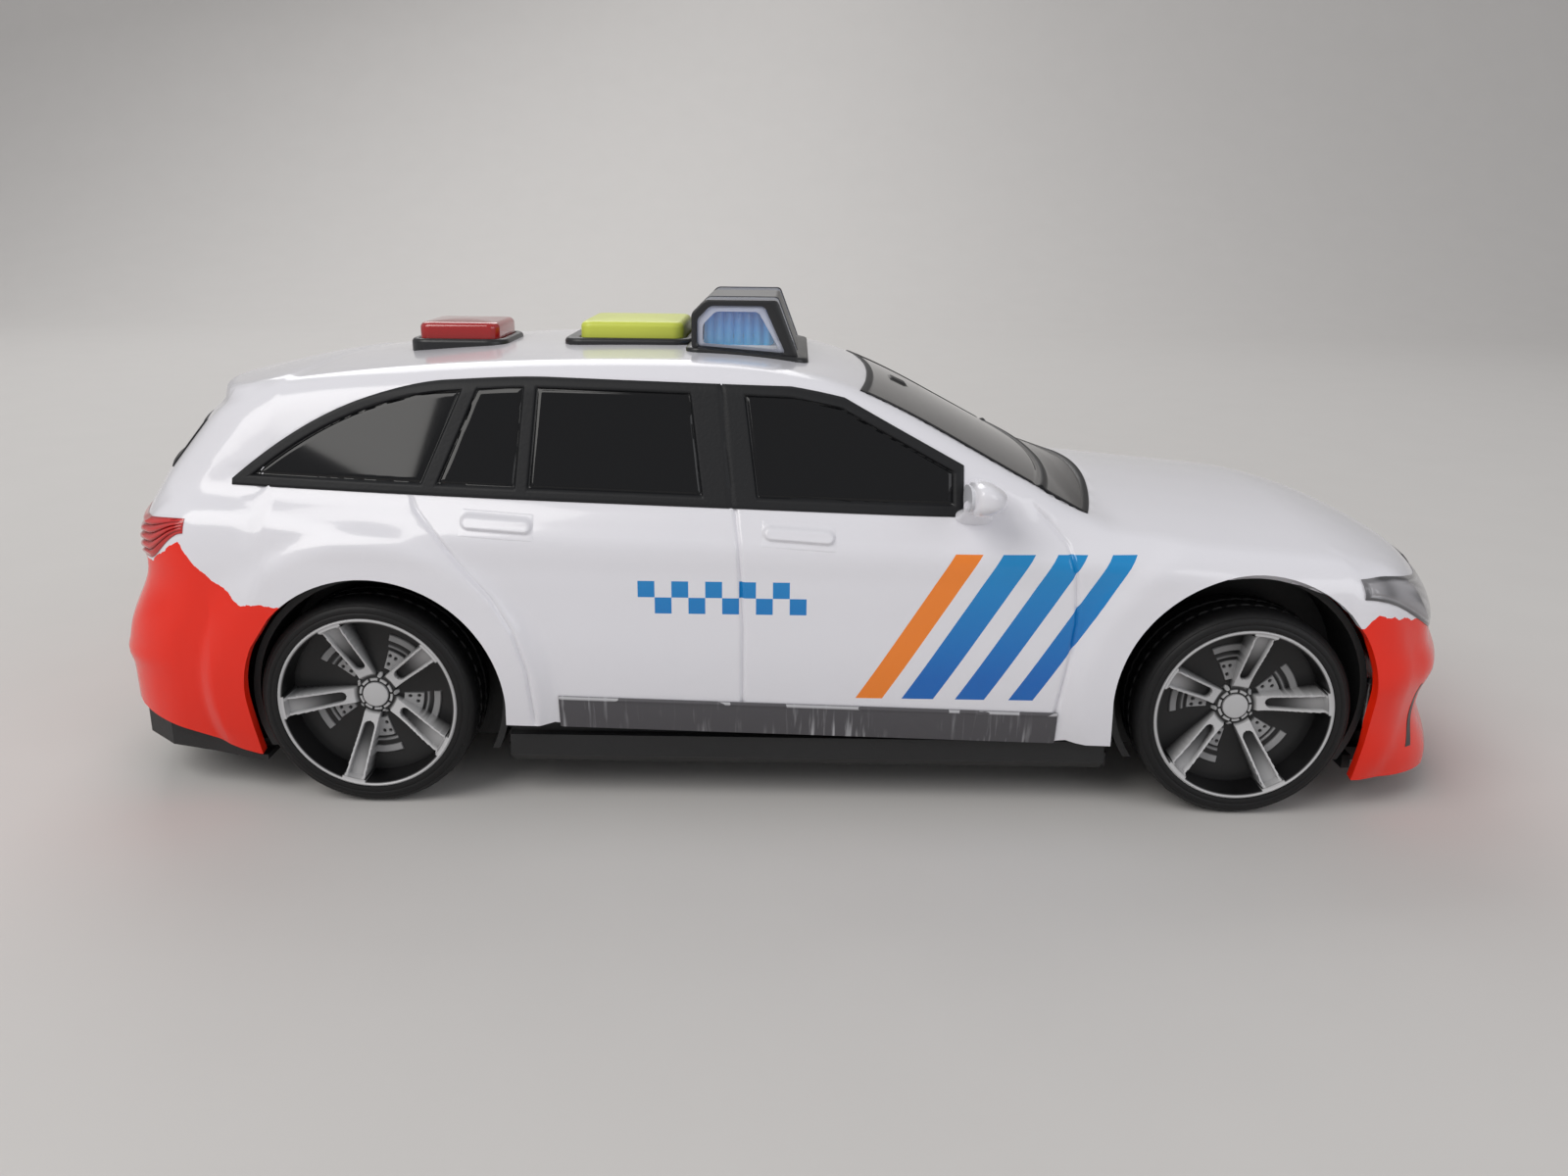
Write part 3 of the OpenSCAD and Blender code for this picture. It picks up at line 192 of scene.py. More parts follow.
def lay(name, grid, around=False, masks=None, keep=None):
    """Mesh of quads over a grid of points in millimetres; around closes the second parameter."""
    rows, columns = grid.shape[:2]
    index = np.arange(rows * columns).reshape(rows, columns)
    if around:
        index = np.concatenate([index, index[:, :1]], axis=1)
    quads = np.stack(cell_corners(index), axis=-1)
    quads = quads.reshape(-1, 4) if keep is None else quads[keep]
    mesh = bpy.data.meshes.new(name)
    mesh.from_pydata((grid.reshape(-1, 3) * MM).tolist(), [], quads.tolist())
    for key, values in (masks or {}).items():
        layer = mesh.attributes.new(key, "FLOAT", "POINT")
        layer.data.foreach_set("value", np.ascontiguousarray(values, dtype=np.float32).ravel())
    piece = bpy.data.objects.new(name, mesh)
    bpy.context.scene.collection.objects.link(piece)
    return piece


def weld(piece, outwards=False):
    """Merges points that coincide, drops loose ones, and may turn the faces of a closed piece outwards."""
    work = bmesh.new()
    work.from_mesh(piece.data)
    bmesh.ops.remove_doubles(work, verts=work.verts, dist=WELD_GAP * MM)
    loose = [v for v in work.verts if not v.link_faces]
    bmesh.ops.delete(work, geom=loose, context="VERTS")
    if outwards:
        bmesh.ops.recalc_face_normals(work, faces=work.faces)
    work.to_mesh(piece.data)
    work.free()


def settle(piece, body, nodes, material, wall=0.0, sharp=38.0):
    """Gives a skin its wall, sets smooth faces with sharp edges, and fixes the piece to its body."""
    if wall:
        shell = piece.modifiers.new("wall", "SOLIDIFY")
        shell.thickness = wall * MM
        shell.offset = -1.0
        shell.use_rim = True
        evaluated = piece.evaluated_get(bpy.context.evaluated_depsgraph_get())
        made = bpy.data.meshes.new_from_object(evaluated)
        piece.modifiers.clear()
        piece.data = made
    piece.data.polygons.foreach_set("use_smooth", np.ones(len(piece.data.polygons), dtype=bool))
    piece.data.set_sharp_from_angle(angle=np.radians(sharp))
    piece.data.materials.clear()
    piece.data.materials.append(material)
    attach(piece, body)
    if nodes:
        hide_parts(*nodes)


# Moulded plastic
# Every plastic piece of the toy has the faint unevenness of a moulding: this shared effect gives
# a roughness that drifts over the surface and a fine height for the grain.
def feed(tree, value, socket):
    """Sets a socket to a number, or links another socket to it."""
    if isinstance(value, (int, float)):
        socket.default_value = value
    else:
        tree.links.new(value, socket)


def calc(tree, how, a, b=0.0):
    """One Math node; a and b are sockets or numbers."""
    node = tree.nodes.new("ShaderNodeMath")
    node.operation = how
    feed(tree, a, node.inputs[0])
    feed(tree, b, node.inputs[1])
    return node.outputs[0]


def noise(tree, place, scale, detail=2.0):
    """Cloudy noise read at a vector socket; the scale is a number or a socket."""
    node = tree.nodes.new("ShaderNodeTexNoise")
    node.inputs["Detail"].default_value = detail
    feed(tree, scale, node.inputs["Scale"])
    tree.links.new(place, node.inputs["Vector"])
    return node.outputs[0]


def moulded_grain():
    """Shader group: drifting roughness and fine grain height from Object coordinates."""
    group = bpy.data.node_groups.new("moulded_grain", "ShaderNodeTree")
    for label, value in (("Roughness", 0.3), ("Drift", 0.1), ("Grain", 900.0)):
        socket = group.interface.new_socket(name=label, in_out="INPUT", socket_type="NodeSocketFloat")
        socket.default_value = value
    for label in ("Roughness", "Height", "Drift"):
        group.interface.new_socket(name=label, in_out="OUTPUT", socket_type="NodeSocketFloat")
    inlet = group.nodes.new("NodeGroupInput").outputs
    outlet = group.nodes.new("NodeGroupOutput").inputs
    place = group.nodes.new("ShaderNodeTexCoord").outputs["Object"]
    drift = calc(group, "SUBTRACT", noise(group, place, 34.0, 3.0), 0.5)
    swing = calc(group, "MULTIPLY", drift, inlet["Drift"])
    group.links.new(calc(group, "ADD", inlet["Roughness"], swing), outlet["Roughness"])
    group.links.new(noise(group, place, inlet["Grain"]), outlet["Height"])
    group.links.new(drift, outlet["Drift"])
    return group


GRAIN = moulded_grain()


def grained(tree, rough, drift, grain=900.0):
    """The shared effect with a material's own values; its roughness goes to the shader."""
    effect = tree.nodes.new("ShaderNodeGroup")
    effect.node_tree = GRAIN
    for label, value in (("Roughness", rough), ("Drift", drift), ("Grain", grain)):
        effect.inputs[label].default_value = value
    tree.links.new(effect.outputs["Roughness"], tree.nodes["Principled BSDF"].inputs["Roughness"])
    return effect


def plastic(name, colour, rough, drift=0.1, grain=900.0, bump=0.02, coat=0.0, metal=0.0, tint=0.06,
            specular=0.5):
    """Moulded plastic: colour that drifts a little, uneven gloss and a fine grain."""
    material = bpy.data.materials.new(name)
    material.use_nodes = True
    tree = material.node_tree
    shader = tree.nodes["Principled BSDF"]
    shader.inputs["Metallic"].default_value = metal
    shader.inputs["Coat Weight"].default_value = coat
    shader.inputs["Coat Roughness"].default_value = 0.06
    shader.inputs["Specular IOR Level"].default_value = specular
    effect = grained(tree, rough, drift, grain)
    relief = tree.nodes.new("ShaderNodeBump")
    relief.inputs["Strength"].default_value = bump
    relief.inputs["Distance"].default_value = 0.0004
    tree.links.new(effect.outputs["Height"], relief.inputs["Height"])
    tree.links.new(relief.outputs["Normal"], shader.inputs["Normal"])
    shade = blend_colour(tree, calc(tree, "ADD", effect.outputs["Drift"], 0.5),
                         [c * (1 - tint) for c in colour], [min(1.0, c * (1 + tint)) for c in colour])
    tree.links.new(shade, shader.inputs["Base Color"])
    return material


def blend_colour(tree, factor, first, second):
    """Mix of two colours, each a triple or a socket, by a factor socket."""
    node = tree.nodes.new("ShaderNodeMix")
    node.data_type = "RGBA"
    tree.links.new(factor, node.inputs[0])
    for place, value in ((6, first), (7, second)):
        if isinstance(value, (list, tuple)):
            node.inputs[place].default_value = (*value, 1.0)
        else:
            tree.links.new(value, node.inputs[place])
    return node.outputs[2]


# Body paint
# Gloss white moulding. Both bumpers are sprayed red-orange over a mask, so the edge is a little
# ragged; the side stripes and the check band are printed on the doors.
FRONT_SPRAY = ((100, 41.6), (116.5, 42.3), (119.3, 45.4), (122, 44.4), (130, 42.6), (150, 42.2))
REAR_SPRAY = ((-152, 50.5), (-131, 51.5), (-123, 56.5), (-119.5, 51.6), (-116, 48.7), (-110.4, 44.4),
              (-95, 43.8))
BLUE_STRIPES = ((23.5, 30.0), (34.5, 40.5), (45.5, 50.5))
CHECK = 3.4
CHECK_X = -30.0
CHECK_Z = 43.6


def own_place(tree):
    """The piece's own coordinates: the vector socket, then x, y and z in millimetres."""
    place = tree.nodes.new("ShaderNodeTexCoord").outputs["Object"]
    split = tree.nodes.new("ShaderNodeSeparateXYZ")
    tree.links.new(place, split.inputs[0])
    return place, *(calc(tree, "MULTIPLY", axis, 1000.0) for axis in split.outputs)


def between(tree, value, low, high):
    """1 where a socket lies between two numbers or sockets."""
    above = calc(tree, "GREATER_THAN", value, low)
    return calc(tree, "MULTIPLY", above, calc(tree, "LESS_THAN", value, high))


def edge_curve(tree, value, points):
    """Straight-line curve through points, read with a socket: a colour ramp with heights as greys."""
    ramp = tree.nodes.new("ShaderNodeValToRGB")
    first, last = points[0][0], points[-1][0]
    while len(ramp.color_ramp.elements) < len(points):
        ramp.color_ramp.elements.new(0.5)
    for stop, (x, z) in zip(ramp.color_ramp.elements, points):
        stop.position = (x - first) / (last - first)
        stop.color = (z / 100, z / 100, z / 100, 1)
    tree.links.new(calc(tree, "DIVIDE", calc(tree, "SUBTRACT", value, first), last - first), ramp.inputs[0])
    return calc(tree, "MULTIPLY", ramp.outputs[0], 100.0)


def body_paint():
    """White moulding with sprayed bumpers and printed stripes, all placed by Object coordinates."""
    material = plastic("body_white", (0.79, 0.785, 0.83), 0.2, drift=0.08, bump=0.015, coat=0.5, tint=0.012,
                       specular=0.4)
    tree = material.node_tree
    shader = tree.nodes["Principled BSDF"]
    white = shader.inputs["Base Color"].links[0].from_socket
    place, x, y, z = own_place(tree)
    ragged = calc(tree, "SUBTRACT", noise(tree, place, 420.0, 4.0), 0.5)
    height = calc(tree, "ADD", z, calc(tree, "MULTIPLY", ragged, 2.2))
    front = calc(tree, "LESS_THAN", height, edge_curve(tree, x, FRONT_SPRAY))
    rear = calc(tree, "LESS_THAN", height, edge_curve(tree, x, REAR_SPRAY))
    in_front = calc(tree, "MULTIPLY", calc(tree, "GREATER_THAN", x, 101.0), front)
    in_rear = calc(tree, "MULTIPLY", calc(tree, "LESS_THAN", x, -96.0), rear)
    sprayed = calc(tree, "MAXIMUM", in_front, in_rear)
    on_side = calc(tree, "GREATER_THAN", calc(tree, "ABSOLUTE", y), 46.0)
    slant = calc(tree, "SUBTRACT", x, calc(tree, "MULTIPLY", calc(tree, "SUBTRACT", z, 25.0), 0.62))
    band = calc(tree, "MULTIPLY", on_side, between(tree, z, 25.6, 56.6))
    orange = calc(tree, "MULTIPLY", band, between(tree, slant, 14.0, 19.5))
    blue = 0.0
    for stripe in BLUE_STRIPES:
        blue = calc(tree, "MAXIMUM", blue, calc(tree, "MULTIPLY", band, between(tree, slant, *stripe)))
    column = calc(tree, "FLOOR", calc(tree, "DIVIDE", calc(tree, "SUBTRACT", x, CHECK_X), CHECK))
    row = calc(tree, "FLOOR", calc(tree, "DIVIDE", calc(tree, "SUBTRACT", z, CHECK_Z), CHECK))
    odd = calc(tree, "MODULO", calc(tree, "ADD", calc(tree, "ADD", column, row), 20.0), 2.0)
    field = calc(tree, "MULTIPLY", between(tree, x, CHECK_X, CHECK_X + 10 * CHECK),
                 between(tree, z, CHECK_Z, CHECK_Z + 2 * CHECK))
    checks = calc(tree, "MULTIPLY", field, on_side)
    checks = calc(tree, "MULTIPLY", checks, calc(tree, "GREATER_THAN", odd, 0.5))
    fade = calc(tree, "DIVIDE", calc(tree, "SUBTRACT", z, 30.0), 27.0)
    print_blue = blend_colour(tree, fade, (0.004, 0.135, 0.50), (0.004, 0.26, 0.60))
    colour = blend_colour(tree, orange, white, (0.90, 0.235, 0.022))
    colour = blend_colour(tree, calc(tree, "MAXIMUM", blue, checks), colour, print_blue)
    colour = blend_colour(tree, sprayed, colour, (0.86, 0.022, 0.006))
    tree.links.new(colour, shader.inputs["Base Color"])
    gloss = calc(tree, "SUBTRACT", 0.5, calc(tree, "MULTIPLY", sprayed, 0.4))
    tree.links.new(gloss, shader.inputs["Coat Weight"])
    return material


BODY_WHITE = body_paint()

# Body moulding
# One shell with a 2 mm wall. Its grid runs along a spine, fans out over nose and tail, and ends
# on the lower edge; stations follow the door gaps, so each gap is a real groove.
DOOR_GAPS = (
    ((19, 30.6, 39.2, 46.5, 54, 58.7, 63.7, 67), (-52, -52.9, -55.3, -59.4, -66.2, -70.0, -75.0, -76.4)),
    ((19, 26, 40.7, 57.6, 65.4), (-8.9, -8.9, -8.8, -9.7, -10.8)),
    ((19, 22.3, 34.9, 42.7, 52, 58.2, 63.1, 66), (55.6, 55.8, 57.7, 58.6, 58.0, 56.4, 51.8, 48.5)),
)
GAP_HEIGHT = 40.0


def gap_x(gap, z):
    """Place of a door gap at a height."""
    return np.interp(z, gap[0], gap[1])


def end_fan(way):
    """Leans of the rays over nose or tail, closer together where the lower edge crosses the middle."""
    low, high = np.radians(20.0), np.radians(85.0)
    for _ in range(30):
        lean = (low + high) / 2
        p = to_skin(np.array([way * SPINE, 0, SPINE_Z]), np.array([way * np.sin(lean), 0, -np.cos(lean)]))
        low, high = (low, lean) if p[2] > lower_edge(p[0]) else (lean, high)
    before = high * (1 - (1 - np.linspace(0, 1, 31)[1:]) ** 1.5)
    if way < 0:
        roof_lip = np.radians(np.linspace(13.0, 30.0, 24))
        before = np.sort(np.concatenate([before, roof_lip]))
    after = high + (np.pi / 2 - high) * np.linspace(0, 1, 15)[1:]
    return np.concatenate([before, after])


def body_grid():
    """Skin points for stations along the car and rows from one lower edge over the roof to the other."""
    homes = [gap_x(gap, GAP_HEIGHT) for gap in DOOR_GAPS]
    near_gap = np.linspace(-1.5, 1.5, 15)
    mid = np.concatenate([np.linspace(-SPINE, SPINE, 111)] + [home + near_gap for home in homes])
    mid = np.unique(np.round(mid, 3))
    tail_fan, nose_fan = end_fan(-1.0), end_fan(1.0)
    base = np.concatenate([np.full(len(tail_fan), -SPINE), mid, np.full(len(nose_fan), SPINE)])
    lean = np.concatenate([-tail_fan[::-1], np.zeros(len(mid)), nose_fan])

    def rays(turn):
        """Directions of a fan of rays: lean along the car, turn about it from straight up."""
        tilt = lean[:, None]
        upright = np.cos(tilt)
        return np.stack([np.sin(tilt) + 0 * turn, upright * np.sin(turn), upright * np.cos(turn)], -1)

    start = np.stack([base, 0 * base, np.full(len(base), SPINE_Z)], -1)[:, None]
    low = np.full((len(base), 1), np.radians(60.0))
    high = np.full((len(base), 1), np.pi)
    for _ in range(18):
        turn = (low + high) / 2
        p = to_skin(start, rays(turn))
        above = p[..., 2] > lower_edge(p[..., 0])
        low = np.where(above, turn, low)
        high = np.where(above, high, turn)
    ends = (low + high) / 2
    ends = np.where(ends > np.pi - 1e-4, np.pi, ends)
    turn = np.linspace(-1, 1, 177)[None] * ends
    skin = to_skin(start, rays(turn))
    knots = np.array([-SPINE, *homes, SPINE])
    shift = np.zeros(skin.shape[:2])
    for k, gap in enumerate(DOOR_GAPS):
        hat = np.interp(base, knots, np.eye(5)[k + 1])[:, None]
        shift = shift + hat * (gap_x(gap, skin[..., 2]) - homes[k])
    moved = start + np.stack([shift, 0 * shift, 0 * shift], -1)
    return to_skin(moved, rays(turn))


def arch_depth(x, z):
    """Signed distance into the arch openings: round above the axle, upright below."""
    depth = np.full(x.shape, -1e3)
    for arch in (REAR_ARCH, FRONT_ARCH):
        below = np.abs(x - arch[0]) + 0.06 * over(arch[1], z)
        away = np.where(z > arch[1], np.hypot(x - arch[0], z - arch[1]), below)
        depth = np.maximum(depth, ARCH_RADIUS - away)
    return depth


# Openings in the body: places of the windows; foot, height and half widths of the rear glass and
# the grille; place, length and width of each button.
WINDOW_TAIL = -113.4
WINDOW_FRONT = 35.3
GLASS_Z, GLASS_HEIGHT, GLASS_HALF, GLASS_TOP_HALF = 68.5, 9.5, 36.0, 32.0
GRILLE_Z, GRILLE_HEIGHT, GRILLE_HALF, GRILLE_SWELL = 35.5, 14.0, 19.0, 4.0
SIREN = (-35.5, 23.0, 26.0)
HORN = (-75.0, 18.0, 20.0)
OUTSIDE = -9.0


def belt_z(x):
    """Lower edge of the side windows."""
    return 64.2 - 0.026 * x


def window_top_z(x):
    """Upper edge of the side windows: under the roof and the windscreen pillar, round at the tail."""
    under_roof = np.minimum(roof_z(x, 0), windscreen_z(x, 40)) - 3.7
    tail = (over(WINDOW_TAIL + 43.8, x) / 43.8) ** 1.9
    return np.minimum(under_roof, belt_z(x) + 1.2 + 20.1 * (1 - tail) + 2.3 * ease(x, -86, -48))


def window_edge(x, z):
    """Distance inside the outline of a side window."""
    steep = (window_top_z(x + 0.2) - window_top_z(x - 0.2)) / 0.4
    across = np.minimum((window_top_z(x) - z) / np.hypot(1, steep), z - belt_z(x))
    return np.minimum(across, np.minimum(WINDOW_FRONT - x, x - WINDOW_TAIL))


def windscreen_span(v):
    """Rear and front ends of the windscreen moulding, where v runs from side to side."""
    return 17.5 - 3 * v * v, 67.7 - 6 * v * v


def windscreen_half(x):
    """Half width of the windscreen moulding."""
    z = np.maximum(windscreen_z(x, 30), 64.2)
    return np.minimum(cabin_half(x, z), 49.3) - 3.8


def rear_glass_half(share):
    """Half width of the rear window at a share of its height."""
    return GLASS_HALF + (GLASS_TOP_HALF - GLASS_HALF) * share


def grille_half(share):
    """Half width of the grille at a share of its height: it swells in a sine."""
    return GRILLE_HALF + GRILLE_SWELL * np.sin(np.pi * 0.6 * share)


def seat_depth(p):
    """How deep the body is let in under the windows, the windscreen and the grille."""
    x, ay, z = p[..., 0], np.abs(p[..., 1]), p[..., 2]
    side = np.where(ay > 36, window_edge(np.clip(x, WINDOW_TAIL, WINDOW_FRONT + 9), z), OUTSIDE)
    side = np.where((x > WINDOW_TAIL) & (x < WINDOW_FRONT), side, OUTSIDE)
    half = windscreen_half(x)
    back, front = windscreen_span(np.clip(ay / half, 0, 1))
    screen = np.minimum(np.minimum(x - back, front - x), half - ay)
    screen = np.where(z > 58, screen, OUTSIDE)
    glass_half = rear_glass_half(np.clip((z - GLASS_Z) / GLASS_HEIGHT, 0, 1))
    glass = np.minimum(np.minimum(z - GLASS_Z, GLASS_Z + GLASS_HEIGHT - z) * 1.4, glass_half - ay)
    glass = np.where(x < -110, glass, OUTSIDE)
    half = grille_half(np.clip((z - GRILLE_Z) / GRILLE_HEIGHT, 0, 1))
    grille = np.minimum(np.minimum(z - GRILLE_Z, GRILLE_Z + GRILLE_HEIGHT - z), half - ay)
    grille = np.where(x > 120, grille, OUTSIDE)
    inside = np.maximum(np.maximum(side, screen), np.maximum(glass, grille))
    return 1.7 * ease(inside, 1.2, 2.8)


def skin_normal(p):
    """Outward direction of the body at a point, by small differences."""
    step = 0.05
    slope = np.stack([hull(p + step * axis) - hull(p - step * axis) for axis in np.eye(3)], -1)
    return slope / np.maximum(np.linalg.norm(slope, axis=-1, keepdims=True), 1e-9)


def body_piece():
    """Body skin with grooves at the door gaps and open wheel arches, turned in at its edges."""
    skin = body_grid()
    side = np.abs(skin[..., 1]) > 30
    inside = (arch_depth(skin[..., 0], skin[..., 2]) > 0) & side
    keep = ~np.logical_and.reduce(cell_corners(inside))
    for arch in (REAR_ARCH, FRONT_ARCH):
        near = inside & (np.abs(skin[..., 0] - arch[0]) < 40)
        dx, dz = skin[..., 0] - arch[0], skin[..., 2] - arch[1]
        size = np.maximum(np.hypot(dx, dz), 1e-6)
        upper = dz > 0
        below = np.sign(dx) * (ARCH_RADIUS - 0.06 * over(0, dz))
        new_x = np.where(upper, dx / size * ARCH_RADIUS, below)
        new_z = np.where(upper, dz / size * ARCH_RADIUS, dz)
        skin[..., 0] = np.where(near, arch[0] + new_x, skin[..., 0])
        skin[..., 2] = np.where(near, arch[1] + new_z, skin[..., 2])
    hand = np.sign(skin[..., 1])
    flat = np.stack([skin[..., 0], hand * 20, skin[..., 2]], -1)
    across = np.stack([0 * hand, np.where(hand == 0, 1, hand), 0 * hand], -1)
    again = to_skin(flat, across, reach=60.0)
    skin = np.where(inside[..., None], again, skin)
    groove = np.zeros(skin.shape[:2])
    for gap in DOOR_GAPS:
        slope = (gap_x(gap, skin[..., 2] + 1) - gap_x(gap, skin[..., 2] - 1)) / 2
        off = (skin[..., 0] - gap_x(gap, skin[..., 2])) / np.hypot(1, slope)
        span = ease(skin[..., 2], 18, 20) * (1 - ease(skin[..., 2], 64.5, 66))
        groove = np.maximum(groove, 0.6 * bell(off, 0, 0.42) * span)
    skin[..., 1] -= np.where(np.abs(skin[..., 1]) > 44, hand * groove, 0)
    for x, length, width in (SIREN, HORN):
        well = (np.abs(skin[..., 0] - x) < length / 2 + 0.6) & (np.abs(skin[..., 1]) < width / 2 + 0.6)
        well = well & (skin[..., 2] > 80)
        keep &= ~np.logical_or.reduce(cell_corners(well))
    skin = skin - seat_depth(skin)[..., None] * skin_normal(skin)
    piece = lay("body", skin, keep=keep)
    weld(piece)
    settle(piece, "car", ["body_shell"], BODY_WHITE, wall=2.0)


body_piece()


# Door handles
# Pull handles are moulded on the doors: a rounded bar over a shallow scoop.
SIDES = (("right", -1.0), ("left", 1.0))
HANDLE_HALF = 8.6
HANDLE_RISE = 2.9


def sheet(first, second):
    """Two parameters on a grid, each given by its start, its end and its count."""
    return np.meshgrid(np.linspace(*first), np.linspace(*second), indexing="ij")


def inward(t):
    """Distance from the nearer end of a parameter that runs from 0 to 1."""
    return np.minimum(t, 1 - t)


def on_hand(name, skin, hand, masks):
    """Mesh of a grid that was drawn for the right side; on the left its rows run the other way."""
    way = slice(None, None, -1 if hand > 0 else 1)
    return lay(name, skin[way], masks={key: value[way] for key, value in masks.items()})


def side_patch(name, x, z, level, hand, masks):
    """Grid on the side of the car at given places and heights, lifted by a level above the skin."""
    start = np.stack([x, np.full(x.shape, 20.0 * hand), z], -1)
    return on_hand(name, to_skin(start, np.array([0.0, hand, 0.0]), level, reach=60.0), hand, masks)


def handle(name, centre, hand):
    """Bar 15 mm long: a round-ended ridge, sunk at its border."""
    u, v = sheet((-1, 1, 61), (-1, 1, 33))
    x = centre[0] + HANDLE_HALF * u
    z = centre[1] + HANDLE_RISE * v - 0.06 * HANDLE_HALF * u
    bar = np.hypot(over(np.abs(HANDLE_HALF * u), 5.6), HANDLE_RISE * v * 1.15 - 0.3)
    border = np.maximum(np.abs(u), np.abs(v))
    level = 1.25 * (1 - ease(bar, 0.9, 1.9)) - 0.35 * ease(border, 0.8, 1.0) + 0.06
    piece = side_patch(name, x, z, level, hand, {})
    settle(piece, "car", None, BODY_WHITE, wall=0.8, sharp=60)


for side, hand in SIDES:
    handle("front_door_handle_" + side, (2.3, 59.6), hand)
    handle("rear_door_handle_" + side, (-58.2, 61.0), hand)

# Side windows
# Each side has one black moulding: matte frame and pillars, with gloss panes set back in it.
PILLARS = ((-64.2, -73.0, 1.25), (-52.4, -53.8, 1.0), (-14.8, -11.8, 4.9))
PILLAR_FOOT = 67.0
PILLAR_RISE = 21.0
PILLAR_LEAN = 0.93


def bar_distance(x, z, top, foot, half):
    """Distance from an upright bar given by its places at top and foot, less than nothing inside it."""
    middle = foot + (top - foot) * (z - PILLAR_FOOT) / PILLAR_RISE
    return np.abs(x - middle) * PILLAR_LEAN - half


def mask_value(tree, name):
    """Socket with the values of a mask on the piece's own points."""
    mask = tree.nodes.new("ShaderNodeAttribute")
    mask.attribute_name = name
    return mask.outputs["Fac"]


def black_window():
    """Gloss black pane and matte black frame, told apart by the pane mask."""
    frame_black, pane_black = (0.012, 0.0125, 0.014), (0.004, 0.0042, 0.005)
    frame_rough, pane_rough = 0.5, 0.05
    material = plastic("window_black", frame_black, frame_rough, drift=0.12, grain=1500.0, bump=0.12,
                       specular=0.28)
    tree = material.node_tree
    shader = tree.nodes["Principled BSDF"]
    pane = mask_value(tree, "pane")
    rough = shader.inputs["Roughness"].links[0].from_socket
    rough = calc(tree, "ADD", calc(tree, "MULTIPLY", pane, pane_rough - frame_rough), rough)
    tree.links.new(calc(tree, "MAXIMUM", rough, 0.04), shader.inputs["Roughness"])
    tree.links.new(calc(tree, "MULTIPLY", pane, 0.15), shader.inputs["Coat Weight"])
    relief = shader.inputs["Normal"].links[0].from_node
    grain = relief.inputs["Height"].links[0].from_socket
    frame_grain = calc(tree, "MULTIPLY", grain, calc(tree, "SUBTRACT", 1.0, pane))
    tree.links.new(frame_grain, relief.inputs["Height"])
    tree.links.new(blend_colour(tree, pane, frame_black, pane_black), shader.inputs["Base Color"])
    return material


BLACK_WINDOW = black_window()


def side_window(side, hand):
    """Window band as a grid of stations and heights; panes sink below frame, pillars and border."""
    near_edge = np.linspace(-0.9, 0.9, 13)
    stations = [np.linspace(WINDOW_TAIL, WINDOW_FRONT, 320)]
    stations += [foot + way * half / PILLAR_LEAN + near_edge for _, foot, half in PILLARS for way in (-1, 1)]
    stations = np.unique(np.round(np.concatenate(stations), 3))
    home, v = np.meshgrid(stations, np.linspace(0, 1, 84), indexing="ij")
    knots = np.array([WINDOW_TAIL, *(foot for _, foot, _ in PILLARS), WINDOW_FRONT])
    x = home
    for _ in range(3):
        low, high = belt_z(x), window_top_z(x)
        z = low + (high - low) * v
        x = home
        for k, (top, foot, _) in enumerate(PILLARS):
            x = x + np.interp(home, knots, np.eye(5)[k + 1]) * (top - foot) * (z - PILLAR_FOOT) / PILLAR_RISE
    low, high = belt_z(x), window_top_z(x)
    z = low + (high - low) * v
    border = window_edge(x, z)
    inside = border - 1.9
    for pillar in PILLARS:
        inside = np.minimum(inside, bar_distance(x, z, *pillar))
    pane = ease(inside, 0.0, 0.5)
    level = 0.4 - 0.42 * ease(inside, -0.15, 0.45) - 0.22 * bell(inside, 0.45, 0.3)
    seam = -11.5 + (-13.8 + 11.5) * (z - PILLAR_FOOT) / PILLAR_RISE
    level = level - 0.35 * bell(x, seam, 0.3)
    level = level - 0.2 * (1 - ease(border, 0.0, 0.5))
    piece = side_patch(f"side_window_{side}_trim", x, z, level, hand, {"pane": pane})
    settle(piece, "car", ["side_window_" + side], BLACK_WINDOW, wall=1.4, sharp=50)


for side, hand in SIDES:
    side_window(side, hand)


# Windscreen and scuttle
# One gloss black moulding fills the windscreen and the panel below it, with a raised lip between
# them, a frame round its edge and a small sensor block at the top.
def windscreen_piece():
    """Grid over the glass from the roof to the scuttle's front edge, laid on the skin from above."""
    s, v = sheet((0, 1, 150), (-1, 1, 201))
    back_x, front_x = windscreen_span(v)
    x = back_x + s * (front_x - back_x)
    half = windscreen_half(x)
    y = v * half
    foot = 57.5 - 5.5 * v * v
    edge = np.minimum(np.minimum(x - back_x, front_x - x), (1 - np.abs(v)) * half)
    glass = 1 - ease(x, foot - 1.2, foot - 0.4)
    scuttle = 0.85 * ease(x, foot + 0.6, foot + 1.2)
    pane = ease(edge, 1.2, 1.8) * np.maximum(glass, scuttle)
    level = 0.34 - 0.39 * ease(edge, 1.1, 1.7) - 0.1 * (1 - ease(edge, 0.0, 0.5))
    level = level + 0.5 * bell(x, foot, 0.6) - 0.3 * bell(x, foot - 1.4, 0.4)
    block = np.maximum(np.abs(x - 25.2) - 1.7, np.abs(y) - 2.6)
    level = level + 0.5 * (1 - ease(block, -0.1, 0.5))
    pane = pane * ease(block, 0.0, 0.6)
    start = np.stack([x, y, np.full(x.shape, 45.0)], -1)
    skin = to_skin(start, np.array([0.0, 0.0, 1.0]), level, reach=70.0)
    piece = lay("windscreen_glass", skin, masks={"pane": pane})
    settle(piece, "car", ["windscreen"], BLACK_WINDOW, wall=1.4, sharp=50)


windscreen_piece()


